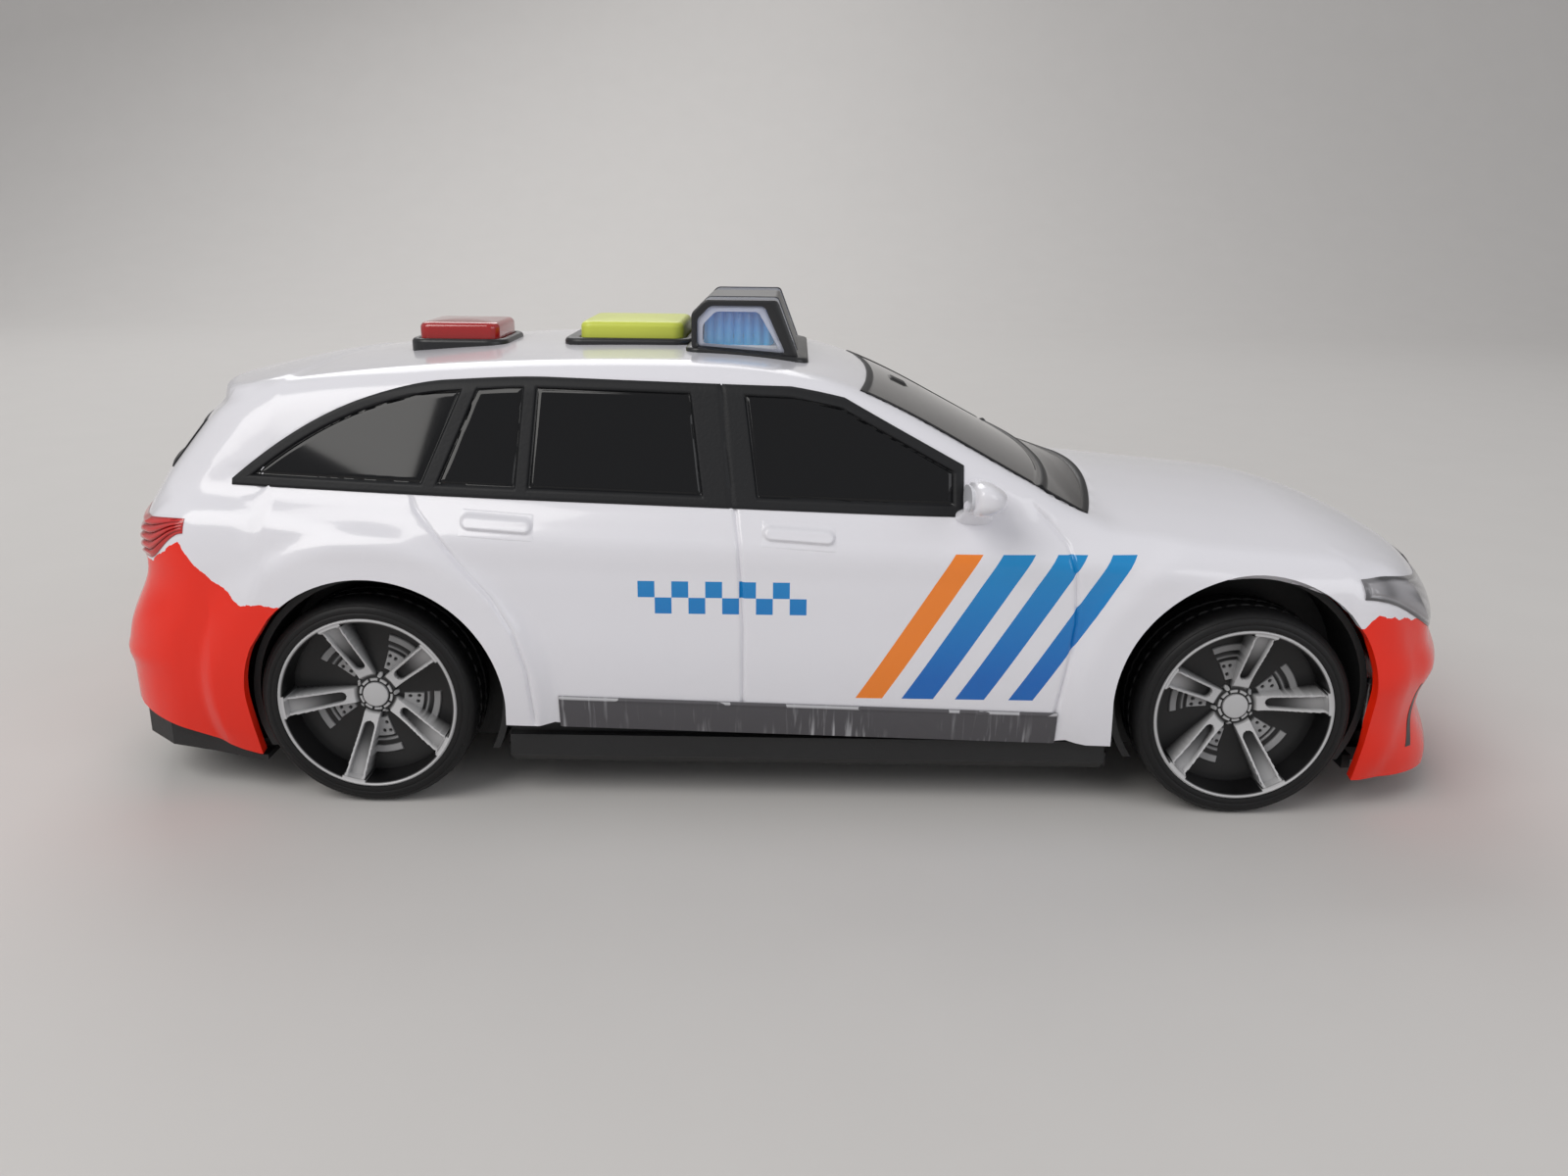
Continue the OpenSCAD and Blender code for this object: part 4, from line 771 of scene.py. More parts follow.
# Rear window
# Gloss black pane in the tailgate, with a matte border and a wiper moulded on it.
def rear_window_piece():
    """Grid over the tailgate glass, laid on the skin from inside towards the tail."""
    s, v = sheet((0, 1, 60), (-1, 1, 181))
    z = GLASS_Z + GLASS_HEIGHT * s
    half = rear_glass_half(s)
    y = v * half
    edge = np.minimum(inward(s) * GLASS_HEIGHT * 1.4, (1 - np.abs(v)) * half)
    pane = ease(edge, 1.2, 1.7)
    level = 0.3 - 0.35 * ease(edge, 1.1, 1.6) - 0.1 * (1 - ease(edge, 0.0, 0.5))
    wiper = np.hypot(over(np.abs(y - 9), 11), (z - 70.8 - 0.05 * y))
    level = level + 0.7 * (1 - ease(wiper, 0.25, 0.7))
    pane = pane * ease(wiper, 0.4, 0.9)
    start = np.stack([np.full(z.shape, -80.0), y, z], -1)
    skin = to_skin(start, np.array([-1.0, 0.0, 0.0]), level, reach=90.0)
    piece = lay("rear_window_glass", skin, masks={"pane": pane})
    settle(piece, "car", ["rear_window"], BLACK_WINDOW, wall=1.4, sharp=50)


rear_window_piece()


# Headlamps
# Grey lamp inlays printed with dark reflectors, under a clear gloss; they wrap round the corners.
LAMP_ORIGIN_X = 100.0


def toned(name, dark, light, rough, coat, specular=0.5):
    """Plastic whose colour runs from dark to light by a tone mask, which holds print on some pieces and
    painted shade on others.
    """
    material = plastic(name, light, rough, drift=0.08, coat=coat, specular=specular)
    tree = material.node_tree
    shade = blend_colour(tree, mask_value(tree, "tone"), dark, light)
    tree.links.new(shade, tree.nodes["Principled BSDF"].inputs["Base Color"])
    return material


HEADLAMP_GREY = toned("headlamp_grey", (0.035, 0.035, 0.04), (0.40, 0.39, 0.41), 0.25, coat=0.7)


def corner_patch(name, origin_x, turn, z, level, hand, masks):
    """Grid on a corner of the body, on level rays that fan out from a point on either side."""
    ray = np.stack([np.sin(turn), np.cos(turn) * hand, 0 * turn], -1)
    start = np.stack([np.full(z.shape, origin_x), np.full(z.shape, 15.0 * hand), z], -1)
    return on_hand(name, to_skin(start, ray, level, reach=80.0), hand, masks)


def headlamp(side, hand):
    """Lamp from its rear tip round to the grille; almond reflectors and a brow line in the tone."""
    s, t = sheet((0, 1, 140), (0, 1, 70))
    turn = np.radians(21 + 49 * s)
    low = 48.4 - 10.2 * ease(s, 0, 0.75)
    high = 52.3 - 3.4 * ease(s, 0.1, 0.85)
    z = low + (high - low) * t
    edge = np.minimum(inward(s) * 30, inward(t) * (high - low))
    level = 0.32 - 0.16 * (1 - ease(edge, 0.0, 0.7)) + 0.25 * np.sin(np.pi * t)
    level = level - 0.25 * bell(edge, 1.1, 0.35)
    slanted = t - 0.45 + 0.55 * (s - 0.55)
    brow = bell(slanted, 0.34, 0.06) * ease(s, 0.12, 0.3)
    first = np.hypot((s - 0.56) / 0.22, slanted / 0.2)
    second = np.hypot((s - 0.76) / 0.12, (slanted + 0.05) / 0.16)
    tone = 0.62 + 0.28 * t - 0.5 * bell(first, 0.75, 0.3) - 0.55 * bell(second, 0.5, 0.4)
    tone = tone - 0.45 * brow + 0.25 * bell(first, 0.25, 0.25)
    tone = tone - 0.5 * (1 - ease(edge, 0.4, 1.0))
    tone = tone - 0.45 * bell(s, 0.16, 0.06) * ease(t, 0.1, 0.4)
    masks = {"tone": np.clip(tone, 0, 1)}
    piece = corner_patch("headlamp_lens_" + side, LAMP_ORIGIN_X, turn, z, level, hand, masks)
    settle(piece, "car", ["headlamp_" + side], HEADLAMP_GREY, wall=1.3, sharp=50)


for side, hand in SIDES:
    headlamp(side, hand)

# Tail lamps
# Red lamps round the rear corners, moulded with level ribs; painted shade darkens the grooves between the
# ribs.
TAIL_RED = toned("tail_lamp_red", (0.16, 0.004, 0.004), (0.62, 0.018, 0.016), 0.16, coat=0.6)


def tail_lamp(side, hand):
    """Lamp from the tailgate round to the side, with five round ribs across it and painted shade between
    them.
    """
    s, t = sheet((0, 1, 110), (0, 1, 96))
    turn = np.radians(-72 + 52 * s)
    low = 48.6 + 3.4 * ease(s, 0.3, 0.7) + 6.2 * ease(s, 0.72, 1)
    high = 60 + 1.1 * ease(s, 0.5, 1)
    z = low + (high - low) * t
    edge = np.minimum(inward(s) * 32, inward(t) * (high - low))
    ribs = np.abs(np.sin(np.pi * 5 * t))
    level = 0.28 + 0.6 * ribs ** 0.7 * ease(edge, 0.3, 1.4) - 0.12 * (1 - ease(edge, 0.0, 0.7))
    # Painted shade: the tone is darkest in the grooves between the ribs and lightest on their crests.
    masks = {"tone": 0.25 + 0.75 * ribs}
    piece = corner_patch("tail_lamp_lens_" + side, -108.0, turn, z, level, hand, masks)
    settle(piece, "car", ["taillight_" + side], TAIL_RED, wall=1.3, sharp=60)


for side, hand in SIDES:
    tail_lamp(side, hand)

# Grille
# Black radiator grille with level slats between the headlamps, in a slim frame. It is one
# moulding, pressed into a seat in the nose.
SLAT_PITCH = 2.33
GRILLE_BLACK = toned("grille_black", (0.006, 0.006, 0.007), (0.05, 0.05, 0.055), 0.3, coat=0.3)


def grille_piece():
    """Grid over the nose: frame round the edge, and slats across as the waves of a cosine, with painted shade
    in the gaps between them.
    """
    u, t = sheet((-1, 1, 181), (0, 1, 90))
    half = grille_half(t)
    y = u * half
    z = GRILLE_Z + GRILLE_HEIGHT * t
    edge = np.minimum((1 - np.abs(u)) * half, inward(t) * GRILLE_HEIGHT)
    slats = 0.5 + 0.5 * np.cos(2 * np.pi * (z - GRILLE_Z) / SLAT_PITCH)
    inner = ease(edge, 1.3, 1.7)
    level = 0.5 - inner * (1.2 - 1.0 * slats ** 0.6) - 0.3 * (1 - ease(edge, 0.0, 0.5))
    # Painted shade: the sunk gaps between the slats are darker than the slats and the frame.
    tone = 1 - inner * (1 - slats) * 0.95
    start = np.stack([np.full(z.shape, 100.0), y, z], -1)
    skin = to_skin(start, np.array([1.0, 0.0, 0.0]), level, reach=70.0)
    piece = lay("grille_slats", skin, masks={"tone": tone})
    settle(piece, "car", ["grille"], GRILLE_BLACK, wall=1.2, sharp=50)


grille_piece()


# Front air slots
# A narrow upright slot is cut in the bumper ahead of each front wheel; black shows inside it.
def air_slot(side, hand):
    """Upright slot, wider at its foot, as a black strip with a raised rim."""
    s, t = sheet((-1, 1, 15), (0, 1, 60))
    half = 0.55 + 0.45 * (1 - t)
    turn = np.radians(45.5 + 1.6 * t) + s * half / 50.0
    z = 13.4 + 14.0 * t
    edge = np.minimum((1 - np.abs(s)) * half, inward(t) * 14)
    level = 0.12 - 0.5 * ease(edge, 0.1, 0.35) - 0.3 * (1 - ease(edge, 0, 0.12))
    level = np.maximum(level, 0.04)
    piece = corner_patch("air_slot_" + side, LAMP_ORIGIN_X, turn, z, level, hand, {"tone": 0.0 * t})
    settle(piece, "car", None, GRILLE_BLACK, wall=0.6, sharp=50)


for side, hand in SIDES:
    air_slot(side, hand)


# Sill trims
# Dark grey strips along the sills, brushed with upright silver streaks, with painted highlights in dashes
# along the top edge.
def trim_with_painted_glints():
    """Grey plastic with upright streaks: noise that is long in height and short along the car, and dashes of
    painted highlight on the top rim.
    """
    material = plastic("sill_trim_grey", (0.075, 0.072, 0.08), 0.42, bump=0.05)
    tree = material.node_tree
    shader = tree.nodes["Principled BSDF"]
    base = shader.inputs["Base Color"].links[0].from_socket
    place = tree.nodes.new("ShaderNodeTexCoord").outputs["Object"]
    stretch = tree.nodes.new("ShaderNodeMapping")
    stretch.inputs["Scale"].default_value = (1.0, 0.1, 0.09)
    tree.links.new(place, stretch.inputs["Vector"])
    streak = noise(tree, stretch.outputs[0], 900.0, 3.0)
    patch = noise(tree, place, 55.0)
    bright = 1.0
    for cloud, start in ((streak, 0.55), (patch, 0.42)):
        steep = calc(tree, "MULTIPLY", calc(tree, "SUBTRACT", cloud, start), 5.0)
        bright = calc(tree, "MULTIPLY", bright, calc(tree, "MAXIMUM", steep, 0.0))
    # Painted highlight: bright dashes on the rolled top rim stand in for glints of light along it.
    painted_glints = calc(tree, "MULTIPLY", mask_value(tree, "rim"), calc(tree, "GREATER_THAN", patch, 0.47))
    bright = calc(tree, "MINIMUM", calc(tree, "ADD", bright, painted_glints), 1.0)
    tree.links.new(blend_colour(tree, bright, base, (0.42, 0.42, 0.44)), shader.inputs["Base Color"])
    return material


TRIM_GREY = trim_with_painted_glints()


TRIM_BACK = -47.0
TRIM_LENGTH = 103.3


def sill_trim(side, hand):
    """Strip from arch to arch along the lower edge, with a rolled upper rim."""
    u, t = sheet((0, 1, 260), (0, 1, 36))
    x = TRIM_BACK + TRIM_LENGTH * u
    low = SILL_HEIGHT - SILL_FALL * x
    z = low - 0.35 + 7.25 * t
    edge = np.minimum(inward(u) * 103, (1 - t) * 6.9)
    level = 0.45 - 0.25 * (1 - ease(edge, 0.0, 0.6)) + 0.2 * bell(t, 0.93, 0.04) + 0.12 * np.sin(np.pi * t)
    rim = ease(t, 0.88, 0.93) * (1 - ease(t, 0.97, 1.0))
    piece = side_patch("sill_strip_" + side, x, z, level, hand, {"rim": rim})
    settle(piece, "car", ["sill_trim_" + side], TRIM_GREY, wall=1.3, sharp=50)


for side, hand in SIDES:
    sill_trim(side, hand)


# Door mirrors
# White mirror heads on short feet, with a bright glass let into the rear face.
def wrap(name, loops, masks=None):
    """Closed piece over a grid of loops, with its seams merged and its faces turned outwards."""
    piece = lay(name, loops, around=True, masks=masks)
    weld(piece, outwards=True)
    return piece


def loft(name, loops):
    """Closed piece through loops of points, each end drawn to its middle."""
    first = np.repeat(loops[:1].mean(axis=1, keepdims=True), loops.shape[1], axis=1)
    last = np.repeat(loops[-1:].mean(axis=1, keepdims=True), loops.shape[1], axis=1)
    return wrap(name, np.concatenate([first, loops, last]))


def power(a, n):
    """Power that keeps the sign, which squares off a round form."""
    return np.sign(a) * np.abs(a) ** n


MIRROR_Z = 68.4
MIRROR_GLASS = plastic("mirror_glass", (0.66, 0.67, 0.71), 0.22, drift=0.04, bump=0.0)


def mirror(side, hand):
    """Head: rounded box, deeper in front than behind; foot: a strut that leans down to the door."""
    foot = to_skin(np.array([37.0, 20.0 * hand, 65.0]), np.array([0.0, hand, 0.0]), 0.1, reach=60.0)
    head_y = foot[1] + 6.5 * hand
    turn = np.linspace(0, 2 * np.pi, 72, endpoint=False)
    rise = np.linspace(-np.pi / 2, np.pi / 2, 40)[1:-1]
    lon, lat = np.meshgrid(turn, rise)
    x = power(np.cos(lat), 0.7) * power(np.cos(lon), 0.75)
    y = power(np.cos(lat), 0.7) * power(np.sin(lon), 0.8) * 8.2
    z = power(np.sin(lat), 0.7) * 3.6 + 0.12 * y * hand
    z = z * (1 - 0.35 * ease(x, 0.0, 1.0))
    x = np.where(x > 0, x * 5.0, x * 2.4)
    head = np.stack([37.6 + x, head_y + y, MIRROR_Z + z], -1)
    piece = loft("mirror_head_" + side, head)
    settle(piece, "car", ["mirror_" + side], BODY_WHITE, sharp=70)
    t = np.linspace(0, 1, 14)[:, None]
    ring = np.linspace(0, 2 * np.pi, 40, endpoint=False)[None]
    centre_y = foot[1] - 1.0 * hand + (head_y + 1.0 * hand - foot[1]) * t
    centre_z = 62.5 + (MIRROR_Z - 64.0) * t ** 1.3
    size = 1 - 0.45 * ease(t, 0.0, 0.8)
    strut = np.stack([37.5 - 0.8 * t + 4.2 * size * power(np.cos(ring), 0.8), centre_y + 0 * ring,
                      centre_z + 2.2 * size * power(np.sin(ring), 0.8)], -1)
    settle(loft("mirror_foot_" + side, strut), "car", None, BODY_WHITE, sharp=70)
    across = 6.3 * power(np.cos(ring[0]), 0.75)
    glass_ring = np.stack([np.full(ring.shape[1], 35.1), head_y + across,
                           MIRROR_Z + 2.6 * power(np.sin(ring[0]), 0.75) + 0.12 * across * hand], -1)
    glass = loft("mirror_glass_" + side, np.stack([glass_ring, glass_ring + np.array([1.2, 0, 0])]))
    settle(glass, "car", None, MIRROR_GLASS)


for side, hand in SIDES:
    mirror(side, hand)

# Roof console and bezels
# Black mouldings on the roof: one frames the siren button and carries the lightbar, a smaller one
# frames the horn button. Each has a flat top, rounded edges and a well for its button.
CONSOLE_TOP = ROOF_HEIGHT + 1.1
HORN_TOP = ROOF_HEIGHT + 0.2
CONSOLE_BLACK = plastic("console_black", (0.014, 0.0145, 0.016), 0.34, drift=0.14, grain=1100.0, bump=0.08,
                        tint=0.2)
LOOP_POINTS = 144
PAD_EDGE = 1.0
WELL_GAP = 0.35


def plan_loop(centre_x, half_x, half_y, radius):
    """Rectangle with round corners in plan, as points at even turns along its outline."""
    straight_x, straight_y = half_x - radius, half_y - radius
    turn = np.linspace(0, 2 * np.pi, LOOP_POINTS, endpoint=False) + np.pi / LOOP_POINTS
    corner_x = np.where(np.cos(turn) > 0, straight_x, -straight_x)
    corner_y = np.where(np.sin(turn) > 0, straight_y, -straight_y)
    sides = np.stack([corner_x + radius * np.cos(turn), corner_y + radius * np.sin(turn)], -1)
    return sides + np.array([centre_x, 0.0])


def raised(loop, z):
    """Plan loop at a height, which may be one number or one for each point."""
    heights = np.broadcast_to(np.asarray(z, float), loop.shape[:1])
    return np.concatenate([loop, heights[:, None]], -1)


def pad_loops(centre_x, half_x, half_y, radius, top):
    """Loops of a pad from its foot on the roof up and round its top edge."""
    outline = plan_loop(centre_x, half_x, half_y, radius)
    loops = [raised(outline, roof_z(outline[:, 0], np.abs(outline[:, 1])) - 0.6)]
    for lift in np.linspace(0, np.pi / 2, 8):
        inset = PAD_EDGE * (1 - np.cos(lift))
        drawn = plan_loop(centre_x, half_x - inset, half_y - inset, max(radius - inset, 0.3))
        loops.append(raised(drawn, top - PAD_EDGE + PAD_EDGE * np.sin(lift)))
    return loops


def bezel(name, node, button, top, rim, extra=0.0):
    """Pad with a well: the loops go over the top edge, down into the opening, and back below it."""
    x, length, width = button
    loops = pad_loops(x - extra / 2, length / 2 + rim + extra / 2, width / 2 + rim, 4.5, top)
    for drop, inset in ((0.0, 0.35), (0.12, 0.1), (0.4, 0.0), (6.2, 0.0)):
        around_well = WELL_GAP + inset
        loops.append(raised(plan_loop(x, length / 2 + around_well, width / 2 + around_well, 2.8), top - drop))
    stem_hole = plan_loop(x, 3.2, 3.2, 3.1)
    outside = plan_loop(x, length / 2 + 1.8, width / 2 + 1.8, 3.0)
    for loop, drop in ((stem_hole, 6.2), (stem_hole, 7.4), (outside, 7.4), (outside, 3.2)):
        loops.append(raised(loop, top - drop))
    piece = wrap(name, np.stack(loops + [loops[0]]))
    settle(piece, "car", [node], CONSOLE_BLACK, sharp=50)


bezel("siren_bezel", "roof_console", SIREN, CONSOLE_TOP, 2.4, extra=1.2)
bezel("horn_bezel", "horn_button_bezel", HORN, HORN_TOP, 2.0)

# Lightbar base
# The console runs on under the lightbar as a thin black plate, a little wider than the bar,
# that follows the roof.
BAR_BACK = -21.2
BAR_DEPTH = 23.0
BAR_REACH = 25.0
BAR_HEIGHT = 9.2
PLATE = 1.0


def plate_loop(drawn_in, share, lift):
    """Loop of the plate, drawn in by a width, then by a share, at a lift over the roof."""
    half_x, half_y = BAR_DEPTH / 2 + 1.7 - drawn_in, BAR_REACH + 1.0 - drawn_in
    loop = plan_loop(BAR_BACK + BAR_DEPTH / 2 + 0.4, half_x * share, half_y * share, 3.0 * share)
    return raised(loop, roof_z(loop[:, 0], np.abs(loop[:, 1])) + lift)


plate_edge = ((0.0, -0.6), (0.0, PLATE - 0.5), (0.15, PLATE - 0.15))
plate_loops = [plate_loop(drawn_in, 1.0, lift) for drawn_in, lift in plate_edge]
plate_loops += [plate_loop(0.5, share, PLATE) for share in (1.0, 0.7, 0.4, 0.1)]
settle(loft("lightbar_base", np.stack(plate_loops)), "car", None, CONSOLE_BLACK, sharp=50)

# Push buttons
# Soft-edged caps that stand in their wells: the siren's is opaque lime, the horn's clear red.
LIME = plastic("lime_button", (0.60, 0.66, 0.085), 0.33, drift=0.1, grain=1400.0, bump=0.03, tint=0.04)
CLEAR_RED = plastic("horn_red", (0.38, 0.008, 0.008), 0.12, drift=0.06, bump=0.0, coat=0.8, tint=0.15)


CAP_RISE = 3.8
CAP_EDGE = 1.3
CAP_DOME = 0.35


def cap(name, node, button, top, material):
    """Cap: upright skirt in the well, rounded edge, slightly domed top, and its stem below."""
    x, length, width = button
    stem = plan_loop(x, 3.0, 3.0, 2.9)
    loops = [raised(stem, top - 9.0), raised(stem, top - 3.5)]
    loops.append(raised(plan_loop(x, length / 2 - 0.6, width / 2 - 0.6, 2.0), top - 3.9))
    loops.append(raised(plan_loop(x, length / 2, width / 2, 2.5), top - 3.6))
    shoulder = top + CAP_RISE - CAP_DOME
    for lift in np.linspace(0, np.pi / 2, 9):
        inset = CAP_EDGE * (1 - np.cos(lift))
        drawn = plan_loop(x, length / 2 - inset, width / 2 - inset, max(2.5 - inset * 0.5, 0.6))
        loops.append(raised(drawn, shoulder - CAP_EDGE + CAP_EDGE * np.sin(lift)))
    for share in (0.75, 0.5, 0.25):
        drawn = plan_loop(x, (length / 2 - CAP_EDGE) * share, (width / 2 - CAP_EDGE) * share, 1.8 * share)
        loops.append(raised(drawn, shoulder + CAP_DOME * (1 - share * share)))
    piece = loft(name, np.stack(loops))
    settle(piece, node, [node], material, sharp=55)


cap("siren_cap", "siren_button", SIREN, CONSOLE_TOP, LIME)
cap("horn_cap", "horn_button", HORN, HORN_TOP, CLEAR_RED)

# Lightbar housing
# Black middle block and two end rings with sloped fronts; each ring frames the open end of a pod.
BAR_MID = 12.0
BAR_RING = 1.4
BAR_CORNER = 0.9


def bar_outline(inset):
    """Side outline of the bar drawn in by an inset, broad in front; quadratic curves round its corners."""
    high = CONSOLE_TOP + BAR_HEIGHT - inset
    back = BAR_BACK + inset
    front = BAR_BACK + BAR_DEPTH - inset * 1.1 - 1.5 * ease(inset, 0.7, 1.2)
    foot = roof_z(np.array([back, front]), BAR_REACH) + PLATE - 0.3 + 0.5 * inset
    corners = [[back, foot[0]], [back, high - 2.8], [back + 2.8, high], [front - 4.6, high], [front, foot[1]]]
    corners = np.array(corners)
    to_last, to_next = np.roll(corners, 1, axis=0) - corners, np.roll(corners, -1, axis=0) - corners
    way_in = corners + BAR_CORNER * to_last / np.linalg.norm(to_last, axis=1, keepdims=True)
    way_out = corners + BAR_CORNER * to_next / np.linalg.norm(to_next, axis=1, keepdims=True)
    t = np.linspace(0, 1, 15)[None, :, None]
    curve = (1 - t) ** 2 * way_in[:, None] + 2 * t * (1 - t) * corners[:, None] + t * t * way_out[:, None]
    return curve.reshape(-1, 2)


def bar_loops(*places):
    """Loops of the bar's outline, each with its own inset and place across the car."""
    loops = []
    for inset, y in places:
        outline = bar_outline(inset)
        loops.append(np.stack([outline[:, 0], np.full(len(outline), y), outline[:, 1]], -1))
    return np.stack(loops)


def ring_piece(name, loops, material, nodes):
    """Closed ring through loops, the last joined to the first."""
    piece = wrap(name, np.concatenate([loops, loops[:1]]))
    settle(piece, "car", nodes, material, sharp=45)


block = bar_loops((0.35, -BAR_MID), (0.0, -BAR_MID + 0.35), (0.0, BAR_MID - 0.35), (0.35, BAR_MID))
block = loft("lightbar_block", block)
settle(block, "car", ["lightbar_housing"], CONSOLE_BLACK, sharp=40)
for side, hand in SIDES:
    outer, inner = hand * BAR_REACH, hand * (BAR_REACH - BAR_RING)
    lip = outer - 0.25 * hand
    loops = bar_loops((0.0, inner), (0.0, lip), (0.25, outer), (0.95, outer), (1.2, lip), (1.2, inner))
    ring_piece("lightbar_ring_" + side, loops, CONSOLE_BLACK, None)


# Lightbar covers and lenses
# Clear hoods with a bevelled end pane; a ribbed blue lens stands inside on a white tray.
def clear_plastic(name, colour, rough, cover):
    """Clear plastic: a thin gloss film of which a share covers what lies behind."""
    material = bpy.data.materials.new(name)
    material.use_nodes = True
    tree = material.node_tree
    shader = tree.nodes["Principled BSDF"]
    shader.inputs["Base Color"].default_value = (*colour, 1.0)
    shader.inputs["Alpha"].default_value = cover
    shader.inputs["IOR"].default_value = 1.5
    grained(tree, rough, 0.03)
    return material


def lens_blue_painted_shade():
    """Blue lens plastic with painted light and shade: paler towards its foot, for the light of the white tray
    below, and darker towards its top.
    """
    material = plastic("blue_lens", (0.012, 0.16, 0.62), 0.14, drift=0.08, bump=0.0, coat=0.7)
    tree = material.node_tree
    z = own_place(tree)[3]
    # Painted light and shade: the colour darkens from the lens's foot up to its top.
    rise = calc(tree, "DIVIDE", calc(tree, "SUBTRACT", z, CONSOLE_TOP - 0.5), 7.5)
    shade = blend_colour(tree, calc(tree, "POWER", calc(tree, "MAXIMUM", rise, 0.0), 0.7),
                         (0.03, 0.46, 0.80), (0.012, 0.17, 0.58))
    tree.links.new(shade, tree.nodes["Principled BSDF"].inputs["Base Color"])
    return material


CLEAR = clear_plastic("clear_cover", (0.80, 0.83, 0.92), 0.05, 0.30)
CLEAR_PANE = clear_plastic("clear_pane", (0.80, 0.84, 0.95), 0.04, 0.10)
# Painted reflection: the bevel's pale, mostly opaque film stands in for the light its clear faces reflect.
BEVEL_PAINTED_REFLECTION = clear_plastic("bevel_painted_reflection", (0.66, 0.69, 0.80), 0.12, 0.6)
BLUE_LENS_PAINTED_SHADE = lens_blue_painted_shade()
WHITE_TRAY = plastic("tray_white", (0.78, 0.80, 0.82), 0.4)
LENS_RIBS = 7

for side, hand in SIDES:
    near, far = hand * (BAR_MID + 0.1), hand * (BAR_REACH - BAR_RING - 0.1)
    loops = bar_loops((0.12, near), (0.12, far - 0.2 * hand), (0.4, far), (1.15, far),
                      (1.15, far - 0.6 * hand), (0.9, near))
    ring_piece("lightbar_hood_" + side, loops, CLEAR, ["lightbar_cover_" + side])
    rim = hand * (BAR_REACH - 1.2)
    loops = bar_loops((1.25, rim), (1.25, hand * (BAR_REACH - 0.9)), (2.4, hand * (BAR_REACH - 0.4)),
                      (2.4, rim))
    ring_piece("lightbar_bevel_" + side, loops, BEVEL_PAINTED_REFLECTION, None)
    pane = loft("lightbar_pane_" + side, bar_loops((2.45, rim), (2.45, hand * (BAR_REACH - 0.45))))
    settle(pane, "car", None, CLEAR_PANE, sharp=40)


def ribbed_lens(side, hand):
    """Lens: plan outline with round ribs on its outer face, leaning in towards the top; tray below it."""
    back, front = BAR_BACK + 2.4, BAR_BACK + BAR_DEPTH - 5.4
    low, high = CONSOLE_TOP - 0.4, CONSOLE_TOP + BAR_HEIGHT - 2.0
    inner_y, outer_y = BAR_MID + 1.6, BAR_REACH - 3.0
    along = np.linspace(0, 1, 141)
    ribs = outer_y + 0.75 * np.abs(np.sin(np.pi * LENS_RIBS * along))
    x = back + (front - back) * along
    outline = np.concatenate([np.stack([x, ribs], -1), np.stack([x[::-1], np.full(len(x), inner_y)], -1)])
    middle = outline.mean(axis=0)
    loops = []
    for share, inset in ((0.0, 0.3), (0.06, 0.0), (0.9, 0.0), (0.97, 0.25), (1.0, 0.7)):
        drawn = middle + (outline - middle) * (1 - inset / 6 - 0.06 * share)
        height = np.full(len(drawn), low + (high - low) * share)
        loops.append(np.stack([drawn[:, 0], hand * drawn[:, 1], height], -1))
    piece = loft("lightbar_lens_ribs_" + side, np.stack(loops))
    settle(piece, "car", ["lightbar_lens_" + side], BLUE_LENS_PAINTED_SHADE, sharp=50)
    tray = plan_loop(BAR_BACK + BAR_DEPTH / 2 - 1.4, 9.0, 5.2, 1.0) + np.array([0, hand * 17.6])
    floor = roof_z(tray[:, 0], np.abs(tray[:, 1])) + PLATE
    piece = loft("lightbar_tray_" + side, np.stack([raised(tray, floor), raised(tray, low)]))
    settle(piece, "car", None, WHITE_TRAY, sharp=40)


for side, hand in SIDES:
    ribbed_lens(side, hand)

# Tyres
# Black rubber-like tyres, pressed on the rims: a smooth side wall with two fine rings, round
# shoulders and a grooved tread.
AXLE_Z = 22.5
FRONT_AXLE_X = 95.0
REAR_AXLE_X = -87.0
WHEEL_FACE = 55.0
TYRE_SECTION = np.array((
    (18.66, -0.5), (18.8, -0.12), (19.2, 0.0), (19.6, -0.03), (19.85, -0.2), (20.1, -0.05), (20.6, -0.12),
    (21.0, -0.3), (21.25, -0.55), (21.45, -0.5), (21.8, -0.85), (22.15, -1.4), (22.38, -2.0), (22.48, -2.6),
    (22.5, -3.2), (22.5, -5.4), (22.1, -5.6), (22.1, -6.2), (22.5, -6.4), (22.5, -9.6), (22.1, -9.8),
    (22.1, -10.4), (22.5, -10.6), (22.5, -13.0), (22.3, -14.2), (21.8, -15.2), (20.9, -15.8), (19.6, -16.0),
    (18.66, -15.7),
))
TREAD_BLOCKS = 48
TYRE_BLACK = plastic("tyre_black", (0.008, 0.008, 0.0085), 0.5, drift=0.18, grain=1300.0, bump=0.12,
                     tint=0.25, specular=0.3)


def wheel_points(radius, turn, out, axle_x, hand):
    """Points from radius, turn seen from the right side, and place along the axle from the wheel face."""
    x, z = axle_x + radius * np.cos(turn), AXLE_Z + radius * np.sin(turn)
    return np.stack([x, hand * (WHEEL_FACE + out), z], -1)


def tyre_piece(name, node, body, axle_x, hand):
    """Lathe of the tyre section; cross grooves are pressed into the tread."""
    turn = np.linspace(0, 2 * np.pi, 288, endpoint=False)
    radius = np.repeat(TYRE_SECTION[:, :1], len(turn), axis=1)
    out = np.repeat(TYRE_SECTION[:, 1:], len(turn), axis=1)
    tread = bell(out, -8.0, 4.6) * ease(radius, 22.2, 22.45)
    radius = radius - 0.22 * tread * (np.sin(TREAD_BLOCKS * turn + 0.35 * out) > 0.55)
    points = wheel_points(radius, turn[None] + 0 * radius, out, axle_x, hand)
    piece = wrap(name, np.concatenate([points, points[:1]]))
    settle(piece, body, [node], TYRE_BLACK, sharp=50)


